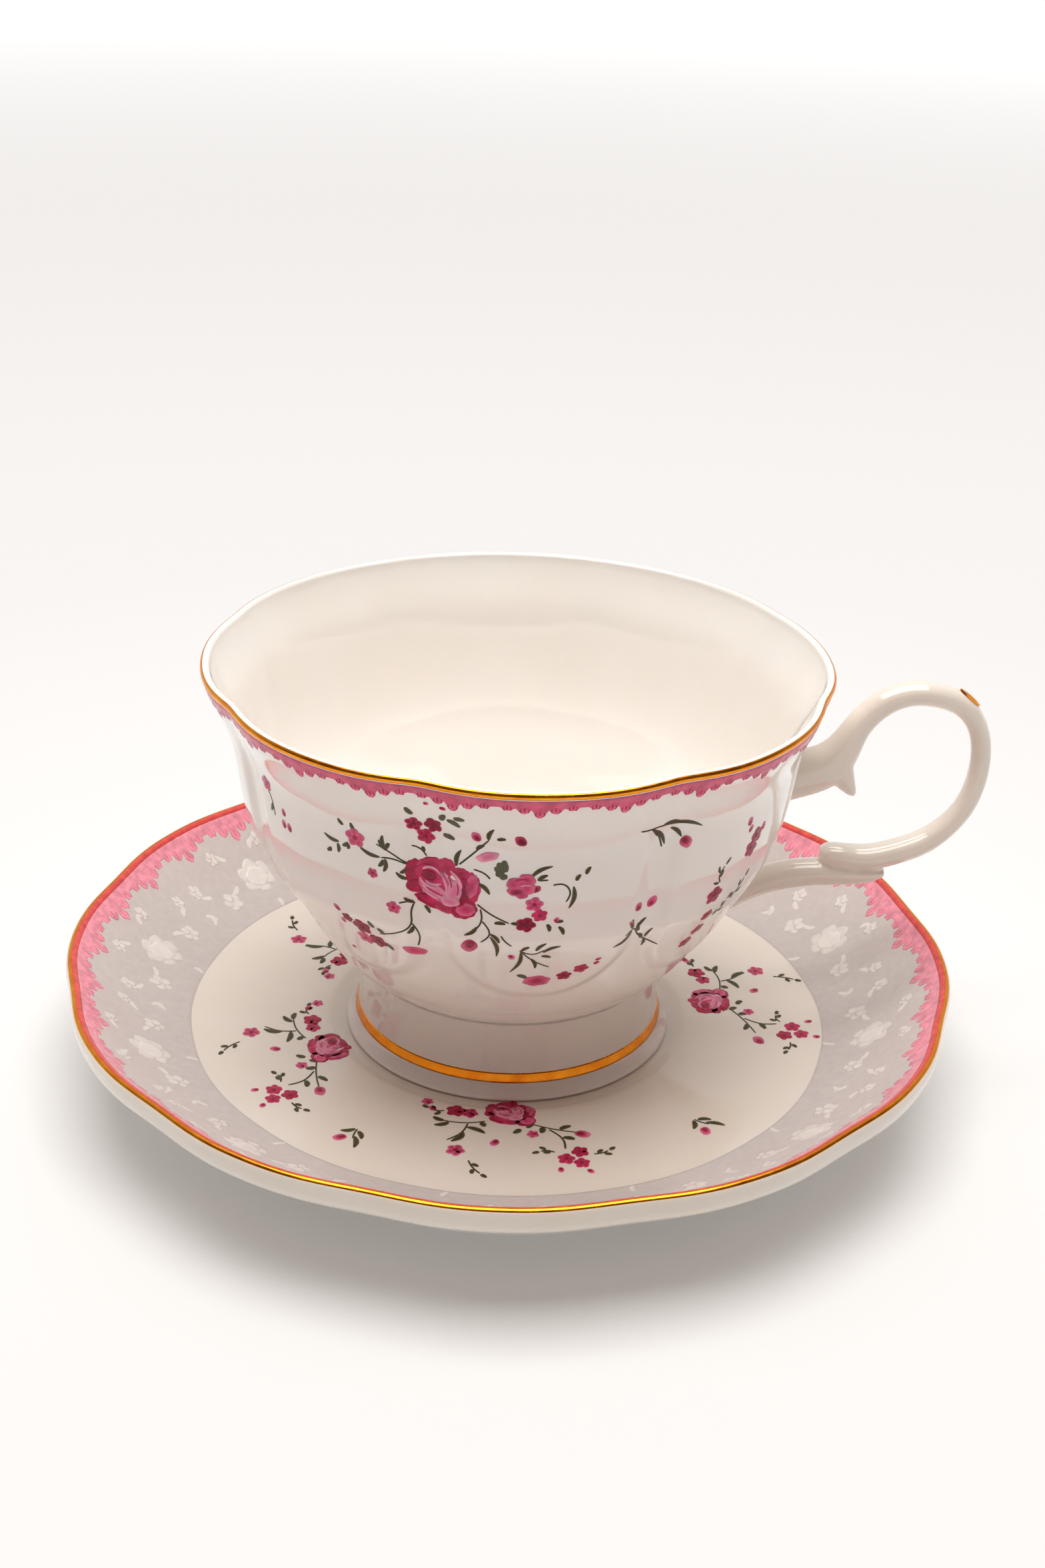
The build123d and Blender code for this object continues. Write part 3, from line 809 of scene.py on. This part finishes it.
SPRAY_SHADOWS = [
    (-3.6, 12.4, -4.6, 14.3), (0.4, 12.2, 1.2, 14), (1, 12.9, 3.2, 11.4), (2, 13.2, 4, 13.2),
    (0.2, 9.6, 2.4, 8.8), (-12.4, -11.6, -11, -13.2), (-12.6, -12, -13.6, -10.2),
    (-12, -15.4, -10.6, -17.4), (11.6, -19.2, 14, -20.4)]
# a, b, size, turn, heart, edge
SPRAY_BLOSSOMS = [
    (-3.8, 10.6, 1.35, 10, DEEP, ROSE), (-0.9, 11, 1.45, 40, DEEP, CRIMSON),
    (-2.2, 8.5, 1.45, 0, CRIMSON, ROSE), (-13.4, 5.6, 1.7, 20, ROSE, PINK),
    (-10.9, 0, 0.9, 50, CRIMSON, PINK), (13.7, -1.9, 1.35, 10, ROSE, PINK),
    (14.6, -4, 1.2, 30, ROSE, ROSE), (12.6, -5.9, 1.5, 0, DEEP, CRIMSON),
    (-7.9, -5.6, 1.2, 15, ROSE, PINK), (-18, -11.6, 1, 0, DEEP, CRIMSON),
    (-15.4, -12.7, 1.7, 30, DEEP, CRIMSON), (-15.9, -15.9, 1.5, 10, ROSE, PINK),
    (-13.2, -15.6, 1.6, 55, DEEP, CRIMSON), (20.3, -19.7, 1.2, 20, DEEP, ROSE),
    (23.1, -18, 1.2, 0, CRIMSON, ROSE)]
SPRAY_BUDS = [
    (5.2, 10.2, 1.15, 110, CRIMSON, PINK), (11.3, 9.9, 1.3, 120, DEEP, ROSE),
    (13.9, 0.9, 0.95, 30, DEEP, ROSE), (17.2, -4.9, 0.6, 60, ROSE, PINK),
    (3.8, -11.6, 1.9, -110, CRIMSON, PINK), (10.7, -13.9, 0.9, -70, ROSE, BLUSH),
    (-19.6, -9.8, 0.9, 120, CRIMSON, PINK), (-19.4, -12.8, 0.7, 100, ROSE, PINK),
    (-21, -20.8, 0.5, 0, ROSE, PINK), (-1.4, 15.6, 0.55, 20, ROSE, PINK),
    (0.9, 15.2, 0.6, 0, CRIMSON, ROSE), (25.7, -16.8, 0.6, 40, CRIMSON, ROSE),
    (25.8, -15.7, 0.6, 30, CRIMSON, PINK)]


def draw_flowers(pen, blossoms, buds):
    """Little flowers and buds, each with its own pen: rows of a, b, size, turn and two colours."""
    for a, b, size, turn, *colours in blossoms:
        pen(a, b, turn).blossom(0, 0, size, 0, *colours)
    for a, b, size, turn, *colours in buds:
        pen(a, b).bud(0, 0, size, turn, *colours)


def bowl_spray(sheet, angle, run):
    """The bowl's main decoration: a rose among sprigs, buds and little flowers."""

    def pen(a=0, b=0, turn=0):
        return sheet.pen(angle + math.degrees(a / SPRAY_RADIUS), run + b, turn)

    centre = pen()
    for points in SPRAY_STEMS:
        centre.stem(*points)
    centre.leaves(SPRAY_LEAVES, 0.75)
    centre.leaves(SPRAY_SHADOWS, 1, 0.1, SHADOW_LEAF, LEAF_EDGE)
    dark = pen(9.6, 3.4)
    for way in (100, 130, 160, 200, 235):
        a, b = math.cos(math.radians(way)), math.sin(math.radians(way))
        dark.leaf(0.24 * a, 0.2, 2 * a, 2 * b + 0.8, 1.3, 0.1, SHADOW_LEAF, LEAF_EDGE)
    draw_flowers(pen, SPRAY_BLOSSOMS, [])
    flower = pen(11.6, 1.6)
    for a, b, wide, high, turn in (
            (-0.9, 0.2, 1.2, 1.1, 20), (0.9, 0.9, 1.3, 1.1, -20), (0.9, -0.6, 1.3, 1.2, 10),
            (-0.7, -1.1, 1.3, 0.9, 0), (0.2, -1.7, 1, 0.8, 0), (0.1, 0.2, 1, 0.9, 0)):
        flower.blob(a, b, wide, high, turn, ROSE, PINK, 3, 0.06, 5)
    flower.blob(-0.6, -1.3, 0.9, 0.45, 10, DEEP, ROSE, 5)
    flower.stroke([(-1.2, 0.6), (0, 1), (1.4, 0.9)], 0.3, CRIMSON, ROSE, 6, belly=0.6)
    flower.stroke([(-0.4, -0.4), (0.6, 0), (1.8, -0.2)], 0.3, BLUSH, PINK, 6, belly=0.6)
    draw_flowers(pen, [], SPRAY_BUDS)
    pen(6.8, 6.4, 18).blob(0, 0, 1.75, 0.85, 0, PINK, BLUSH, 1, 0.06, 5, 0.2)
    pen(-6.2, -15.7, -2).blob(0, 0, 1.9, 1.15, 0, ROSE, PINK, 1, 0.05, 5)
    pen(15.4, -20.9, 4).blob(0, 0, 2.1, 1.45, 0, CRIMSON, PINK, 1, 0.06, 6)
    centre.rose()


def side_sprays(sheet, angle, run):
    """Sprigs and little flowers between two main sprays, placed from the angle of the handle side."""

    def pen(away, high, turn=0):
        return sheet.pen(angle + away, run + high, turn)

    top = pen(0, 9)
    top.stroke([(-0.6, 0.9), (1.4, 0.8), (3.6, 0.9), (6.6, 1.3)], 0.3)
    top.stroke([(1.4, 0.8), (2.6, -0.2), (3.6, -1.8), (4.2, -3.4)], 0.3)
    top.leaves([
        (1.8, 0.6, 4.6, -3), (1.6, 0.7, 3, -1.2), (3.4, 0.9, 6.6, 1.2), (3.4, 0.9, 10.8, -0.7),
        (4.8, 0.3, 7.2, -2)], 0.7)
    top.bud(8.2, -3, 1.5, -50)
    low = pen(0, -11)
    low.stem((0.2, 0.6), (1.6, 1.8), (2.6, 0.4), (4.4, -1.6), (8, -4.4))
    low.leaves([
        (1.4, 1.7, -1.4, -2), (1.6, 1.8, 0.9, 4.4), (2.4, 1.6, 3.6, 3.8), (2.8, 0.2, 4, -1.8),
        (4.6, -1.6, 5.6, 0.8), (4.4, -1.6, 4.9, -4.2), (3, 0.6, 2.4, 3.2)], 0.75)
    low.bud(1.4, 6.6, 1.05, 100)
    low.bud(3.8, 6.9, 1.25, 70, ROSE, PINK)
    low.bud(0.6, 3.6, 0.6, 110, ROSE, BLUSH)
    draw_flowers(pen, [
        (30.2, -0.6, 1.6, 0), (31.4, 1.4, 1.5, 30), (21.2, -6.8, 1.7, 15), (22.2, -11.6, 1.2, 0),
        (22.4, -15.4, 1.3, 40), (21.2, -18.4, 1.3, 10)], [
        (27.4, 5.2, 1, 100), (28.4, 3.6, 0.8, 60), (33.5, 2.5, 0.9, 90)])
    for away, high, points in (
            (28.6, -10.4, [(0, 0), (1.2, 1.8), (2.2, 4)]), (22, -4.6, [(0, 0), (-0.8, 1.6), (0.2, 3.4)]),
            (24.8, -13, [(0, 0), (1.4, 1.4), (2, 3.2)])):
        pen(away, high).sprig(points, [(0.1, 1), (0.35, -1), (0.6, 1), (0.95, 0)], 1.8)
    far = pen(-77, 7)
    far.blossom(-0.4, 1, 1.3, 20, CRIMSON, PINK)
    far.stem((-0.4, 0.2), (0.4, -1.6), (0.6, -4.6))
    far.leaf(0.3, -2, -0.6, -4, 0.7)
    for a, b, size in ((3.4, -2.6, 0.8), (3, -4.8, 0.9), (4.4, -4.9, 0.9)):
        far.bud(a, b, size, 100)


# shares of half a repeat from the big drop, and the lace's depth up to there
LACE_STEPS = [
    (0.12, 3.4), (0.17, 2.4), (0.24, 1.5), (0.46, 2.5), (0.54, 1.7), (0.62, 1.3), (0.86, 1.9), (1.01, 1.3)]
# place in the repeat, depth and width of the scrolls
LACE_SCROLLS = [
    (0, 2.3, 0.95), (0.175, 1.55, 0.9), (-0.175, 1.55, 0.9), (0.37, 1.15, 0.8), (-0.37, 1.15, 0.8)]


def lace_depth(share):
    """Depth of the lace over one repeat, share from 0 to 1: a big drop, then smaller ones either side."""
    away = np.abs((share + 0.5) % 1 - 0.5) * 2          # 0 under the big drop, 1 between two
    depth = np.zeros_like(away)
    before = 0
    for end, value in LACE_STEPS:
        depth = np.where((away >= before) & (away < end), value, depth)
        before = end
    return depth


def lace(sheet, repeats, first, top, down, colour, line, size=1, steps=44):
    """Border of lace: a solid line, stepped drops under it and scrolls drawn in each drop."""
    columns = repeats * steps
    share = np.arange(columns) / steps
    angles = math.radians(first) + share * 2 * math.pi / repeats
    depth = size * lace_depth(share)
    depth = (depth + np.roll(depth, 1) + np.roll(depth, -1)) / 3
    levels = np.array([-0.02, 0, 0.2, 0.4, 0.6, 0.8, 1, 1.02])
    rows = []
    for row, level in enumerate(levels):
        lift = SUNK if row in (0, len(levels) - 1) else PRINT_LIFT
        rows.append(sheet.surface(angles, top + down * depth * level, np.full(columns, lift)))
    colours = [np.tile(np.array(colour) * (0.94 + 0.1 * level), (columns, 1)) for level in levels]
    sheet.grid(np.stack(rows), np.stack(colours), True)
    turn = 0 if down < 0 else 180
    for repeat in range(repeats):
        for away, deep, wide in LACE_SCROLLS:
            place = first + (repeat + away) * 360 / repeats
            pen = sheet.pen(place, top + down * size * deep, turn, size)
            for side in (-1, 1):
                pen.stroke([(0.08 * side, -0.75), (0.55 * side * wide, -0.7), (0.75 * side * wide, -0.25),
                            (0.45 * side, 0.05), (0.22 * side, -0.25)], 0.2, line, line, 1)
            pen.stroke([(0, 0.6), (0, -0.8)], 0.22, line, line, 1)


def ring_line(sheet, start, end, colour):
    """Plain painted ring between two runs."""
    columns = 720
    angles = whole_turn(columns)
    rows = [sheet.surface(angles, start + (end - start) * share, np.full(columns, lift))
            for share, lift in ((-0.05, SUNK), (0, 0.04), (0.5, 0.045), (1, 0.04), (1.05, SUNK))]
    sheet.grid(np.stack(rows), np.tile(np.array(colour), (len(rows), columns, 1)), True)


SAUCER_STEMS = [
    [(2.4, -3), (6.3, -5.4), (9.5, -7.2)], [(5.2, -5), (6.6, -8), (6.4, -11)],
    [(-3.4, -2.8), (-6.8, -4), (-10, -4.2)], [(-6, -3.8), (-6.4, -6.6), (-8, -9.4)]]
SAUCER_LEAVES = [
    (3, -2.8, 2.2, -4.6), (6.6, -5.6, 8.8, -4.9), (6.5, -7.6, 8.2, -8.8), (4.4, -4.2, 4, -6.2),
    (-6.2, -5, -3.2, -6.4), (-6.3, -6.2, -7.4, -9.6), (-8.6, -4.2, -10.6, -6), (-9.2, -4.2, -11.4, -3.6),
    (-4.4, -3.2, -3.6, -4.6), (1.4, -4.4, 0.2, -6)]
# degrees away from the rose, mm out from it, size, turn and colours
SAUCER_BLOSSOMS = [
    (11.2, 13.4, 1.4, 0, CRIMSON, ROSE), (14.6, 12, 1.4, 30, CRIMSON, CRIMSON),
    (13.9, 14.9, 1.3, 10, CRIMSON, ROSE), (-15.6, 1, 1.6, 20, CRIMSON, CRIMSON),
    (-11.4, 1.1, 1.3, 0, CRIMSON, ROSE), (5.5, 6.2, 1, 40, ROSE, PINK),
    (-11.7, 11.6, 1.5, 0, CRIMSON, PINK), (-25, 0.2, 1, 0, ROSE, PINK)]
SAUCER_BUDS = [
    (17.5, 7.6, 1.5, -30), (-3.7, 8.7, 1.1, -120), (9.4, 16.2, 0.8, -100), (14.8, 17.4, 0.8, -60),
    (-22.4, 1.6, 0.9, 150)]
SAUCER_SPRIGS = [
    (-8.6, 13.6, [(0, 0), (1, -2), (2.4, -3.6)]), (16.8, 13, [(0, 0), (1.6, -0.2), (3, 0.2)]),
    (9.6, 11.6, [(0, 0), (-1.2, 0.8), (-2.6, 0.6)]), (-18.4, 1.4, [(0, 0), (-1.2, -0.6), (-2.8, -0.4)])]


def saucer_spray(sheet, angle, radius, flip=1):
    """Rose with two arms of sprigs and little flowers; flip -1 draws it the other way round."""

    def pen(away, out, turn=0, size=1):
        return sheet.pen(angle + flip * away, -(radius + out), turn, size)

    pen(0, 0, 0, 0.72).rose()
    centre = pen(0, 0)
    for points in SAUCER_STEMS:
        centre.stem(*[(flip * a, b) for a, b in points], width=0.27)
    centre.leaves([(flip * a, b, flip * to_a, to_b) for a, b, to_a, to_b in SAUCER_LEAVES], 1)
    draw_flowers(pen, SAUCER_BLOSSOMS, [(*row, turn * flip) for *row, turn in SAUCER_BUDS])
    for away, out, points in SAUCER_SPRIGS:
        pen(away, out).sprig([(flip * a, b) for a, b in points], [(0.3, 1), (0.6, -1), (0.95, 0)],
                             1.6, 0.3, 0.8)


def small_sprig(sheet, angle, radius):
    """A bud with three leaves, alone between two sprays."""
    pen = sheet.pen(angle, -radius)
    pen.stem((0, 1.4), (0.2, 0.2), (1, -1.6), width=0.3)
    pen.leaves([(-0.2, 1.2, -2.2, -0.8), (0.2, 0.8, 2.2, -1), (0.6, -0.6, 2.4, -3.6)], 0.95)
    pen.bud(-1, -2.4, 1.3, -120)


PEARL_REPEATS, PEARL_RADIUS = 12, 62.4
# degrees away from the band's rose, mm out from it, size
PEARL_FLOWERS = [
    (-8.4, -1.6, 1.8), (8.2, -2.2, 2), (-4.2, 6, 1.2), (5.4, 5.6, 1.2), (12.8, 2.6, 1.4),
    (-12.6, 3.2, 1.2)]
# degrees away, mm out, and the tip of the leaf
PEARL_LEAVES = [
    (-5, 0.4, -2.8, 1.6), (4.6, 0.2, 3, 1.2), (0, -5.4, 1, 2.6), (10.6, 0.6, 2.6, -1.2),
    (-10.8, 0.8, -2.4, -1.2), (-2.2, 4.6, -1.8, -1.8), (2.8, 4.4, 2, -1.8), (14.4, -1.6, 1.8, 2.2),
    (-14.2, -1.2, -1.8, 2.4)]


def pearl_band(sheet, sheet_band):
    """Grey lustre on the flank with a cream pattern of roses and leaves reserved in it."""
    columns = SAUCER_SCALLOPS * 32
    angles = whole_turn(columns)
    radii = np.concatenate([[FLAT_RADIUS - 0.05], np.linspace(FLAT_RADIUS, SAUCER_RADIUS - 2.2, 36),
                            [SAUCER_RADIUS - 2.15]])
    lifts = np.full(len(radii), 0.012)
    lifts[0] = lifts[-1] = SUNK
    rows = np.stack([on_saucer(angles, np.full(columns, radius), lift)
                     for radius, lift in zip(radii, lifts)])
    sheet_band.grid(rows, np.tile(np.array(BAND_GREY), (len(radii), columns, 1)), True)
    for step in range(PEARL_REPEATS):
        angle = 14.6 + step * 360 / PEARL_REPEATS
        flower = sheet.pen(angle, -PEARL_RADIUS, 20 * (-1) ** step)
        for petal in range(6):
            way = math.radians(60 * petal + 10)
            flower.blob(2.1 * math.cos(way), 1.8 * math.sin(way), 1.7, 1.5, 60 * petal,
                        PEARL, PEARL_EDGE, 0, 0.06, 4)
        flower.blob(0, 0, 2.2, 2, 0, PEARL, PEARL, 1, 0.06, 6)
        for away, out, size in PEARL_FLOWERS:
            small = sheet.pen(angle + away, -(PEARL_RADIUS + out), 15 * step)
            for petal in range(5):
                way = math.radians(72 * petal)
                small.blob(0.55 * size * math.cos(way), 0.5 * size * math.sin(way),
                           0.5 * size, 0.45 * size, 72 * petal, PEARL, PEARL_EDGE, petal % 2, 0.06, 3)
        for away, out, to_a, to_b in PEARL_LEAVES:
            leaf = sheet.pen(angle + away, -(PEARL_RADIUS + out))
            leaf.leaf(0, 0, to_a, to_b, 1, 0.15, PEARL, PEARL_EDGE, 0)


def print_material(name, roughness, mottling):
    """Fired enamel: the colour of each patch, mottled like a hand-worked print."""
    material, tree, shader = new_material(
        name, (0.5, 0.2, 0.2), Roughness=roughness, Specular_IOR_Level=0.3)
    colour = add_node(tree, "ShaderNodeVertexColor")
    colour.layer_name = "Print"
    mottle = add_node(tree, "ShaderNodeHueSaturation")
    tree.links.new(colour.outputs["Color"], mottle.inputs["Color"])
    add_noise(tree, 700, 4, 1 - mottling, 1 + mottling, mottle.inputs["Value"])
    tree.links.new(mottle.outputs["Color"], shader.inputs["Base Color"])
    add_noise(tree, 400, 2, roughness * 0.8, roughness * 1.3, shader.inputs["Roughness"])
    add_bump(tree, shader, 800, 0.000006)
    return material


def build_bowl_print(material):
    sheet = Print(on_bowl, lambda run: bowl_place(run)[0])
    for side in (0, 180):
        bowl_spray(sheet, -109.4 + side, SPRAY_RUN)
        side_sprays(sheet, -72.7 + side, SPRAY_RUN)
    lace(sheet, 25, -106.5, OUTSIDE_RUN[-1] - 0.45, -1, LACE, LACE_LINE)
    sheet.finish("bowl_decoration", material, "cup")


def build_saucer_prints(material, lustre):
    def surface(angle, run, lift):
        return on_saucer(angle, -run, lift)

    sheet, band_sheet, pearl = (Print(surface, lambda run: -run) for _ in range(3))
    for spray in ((-94.5, 31.2), (-161.7, 32.8), (2.4, 36, -1), (72, 32.8), (132, 33, -1)):
        saucer_spray(sheet, *spray)
    for angle in (-52, 38, 102, -128):
        small_sprig(sheet, angle, 45)
    lace(sheet, 36, 3.3, -(SAUCER_RADIUS - 1.8), 1, PALE_LACE, PALE_LACE_LINE, 1.25)
    ring_line(sheet, -(SAUCER_RADIUS - 1.9), -(SAUCER_RADIUS - 1.02), CORAL)
    pearl_band(pearl, band_sheet)
    band_sheet.finish("saucer_lustre_band", lustre, "saucer")
    pearl.finish("saucer_reserved_pattern", lustre, "saucer")
    sheet.finish("saucer_decoration", material, "saucer")


# ---------------------------------------------------------------- stage, lights and camera


def build_stage():
    """Pale floor, which glows a little more with distance so that it stays pale right to the back."""
    bpy.ops.mesh.primitive_plane_add(size=12)
    floor = bpy.context.object
    floor.name = "floor"
    material, tree, shader = new_material("floor_white", (0.7, 0.7, 0.7), Roughness=0.8)
    set_inputs(shader, Emission_Color=(1, 1, 1, 1))
    place = add_node(tree, "ShaderNodeTexCoord")
    away = add_node(tree, "ShaderNodeVectorMath")
    away.operation = "LENGTH"
    glow = add_node(tree, "ShaderNodeMapRange", From_Min=0.25, From_Max=1.6, To_Min=0.15, To_Max=0.85)
    tree.links.new(place.outputs["Object"], away.inputs[0])
    tree.links.new(away.outputs["Value"], glow.inputs["Value"])
    tree.links.new(glow.outputs["Result"], shader.inputs["Emission Strength"])
    wear(floor, material)


def build_world():
    """Dim and warm above the ware, pale behind and below it; the camera sees a plain pale backdrop."""
    world = bpy.data.worlds.new("studio")
    bpy.context.scene.world = world
    world.use_nodes = True
    tree = world.node_tree
    backdrop = set_inputs(tree.nodes["Background"], Strength=0.66)
    way = add_node(tree, "ShaderNodeTexCoord")
    split = add_node(tree, "ShaderNodeSeparateXYZ")
    tree.links.new(way.outputs["Generated"], split.inputs["Vector"])
    shares = []
    for axis, start, end in (("Z", -0.1, 0.12), ("Y", 0.6, 0)):
        spread = add_node(tree, "ShaderNodeMapRange", From_Min=start, From_Max=end)
        tree.links.new(split.outputs[axis], spread.inputs["Value"])
        shares.append(spread)
    both = add_node(tree, "ShaderNodeMath")
    both.operation = "MULTIPLY"
    for side in (0, 1):
        tree.links.new(shares[side].outputs["Result"], both.inputs[side])
    mix = tree.nodes.new("ShaderNodeMix")
    mix.data_type = "RGBA"
    set_inputs(mix, A=(1, 0.985, 0.965, 1), B=(0.16, 0.105, 0.075, 1))
    tree.links.new(both.outputs["Value"], mix.inputs["Factor"])
    tree.links.new(mix.outputs["Result"], backdrop.inputs["Color"])
    seen = add_node(tree, "ShaderNodeBackground", Color=(0.9, 0.895, 0.89, 1))
    ray = add_node(tree, "ShaderNodeLightPath")
    choice = add_node(tree, "ShaderNodeMixShader")
    tree.links.new(ray.outputs["Is Camera Ray"], choice.inputs["Fac"])
    tree.links.new(backdrop.outputs["Background"], choice.inputs[1])
    tree.links.new(seen.outputs["Background"], choice.inputs[2])
    tree.links.new(choice.outputs["Shader"], tree.nodes["World Output"].inputs["Surface"])


def build_lamp():
    """One soft lamp straight above the ware."""
    data = bpy.data.lights.new("top", "AREA")
    data.shape = "RECTANGLE"
    data.size, data.size_y = 0.8, 0.7
    data.energy = 8.6
    data.color = (1, 0.98, 0.96)
    lamp = add_object("top", data)
    lamp.location = (0, 0, 0.85)
    lamp.rotation_euler = Vector((0, 0, -1)).to_track_quat("-Z", "Y").to_euler()


def build_camera():
    """A 50 mm lens, a little above the cup and tipped slightly, as held by hand."""
    data = bpy.data.cameras.new("camera")
    data.lens = 50
    data.sensor_width = 36
    camera = add_object("camera", data)
    azimuth, elevation, roll = math.radians(-6.5), math.radians(25.5), math.radians(2.1)
    stand = Matrix.Translation((0.0012, -0.3249, 0.2058))
    look = Matrix.Rotation(math.pi / 2 - elevation, 4, "X") @ Matrix.Rotation(roll, 4, "Z")
    camera.matrix_world = Matrix.Rotation(azimuth, 4, "Z") @ stand @ look
    bpy.context.scene.camera = camera


# ---------------------------------------------------------------- making it all

build_camera()
build_world()
build_lamp()
build_stage()

white = porcelain("ivory_porcelain", tone(251, 247, 242), tone(248, 242, 235))
# warm: the same porcelain, darker and warmer, as painted shade on the bowl's outside
warm = porcelain("porcelain_painted_shade", tone(224, 202, 178), tone(218, 194, 169))
# cream: the same porcelain, a little darker, as painted shade on the saucer and the handle
cream = porcelain("porcelain_faint_painted_shade", tone(243, 234, 223), tone(238, 228, 215))
gilt = gold()

bowl = build_bowl()
foot = build_foot()
plate = build_saucer()
handle = build_handle()
rim_line = band("rim_line", band_rows(-0.25, 0.75, 0.06, 10), RIM_SCALLOPS * 60, on_rim)
foot_line = band("foot_line", band_rows(SEAT + 2.7, SEAT + 4.3), 240, on_foot)
saucer_line = band("saucer_line", band_rows(-(SAUCER_RADIUS - 1), -(SAUCER_RADIUS - 0.3), 0.06), 720,
                   on_saucer_edge)

for piece, body, slot, node, materials in (
        (bowl, "cup", "cup_porcelain", "cup_bowl", (white, warm)),
        (foot, "cup", "cup_porcelain", "cup_foot", (white, warm)),
        (handle, "cup", "cup_porcelain", "cup_handle", (cream, warm)),
        (plate, "saucer", "saucer_porcelain", "saucer", (cream, warm)),
        (rim_line, "cup", "gilding", "cup_rim_gilding", (gilt,)),
        (foot_line, "cup", "gilding", "cup_foot_gilding", (gilt,)),
        (saucer_line, "saucer", "gilding", "saucer_rim_gilding", (gilt,))):
    place_on(piece, body, slot, *materials)
    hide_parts(node)
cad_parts["handle_gilding"].active_material = gilt
enamel = print_material("enamel_print", 0.14, 0.2)
build_bowl_print(enamel)
build_saucer_prints(enamel, print_material("pearl_lustre", 0.2, 0.04))

bpy.context.scene.view_settings.view_transform = "Standard"
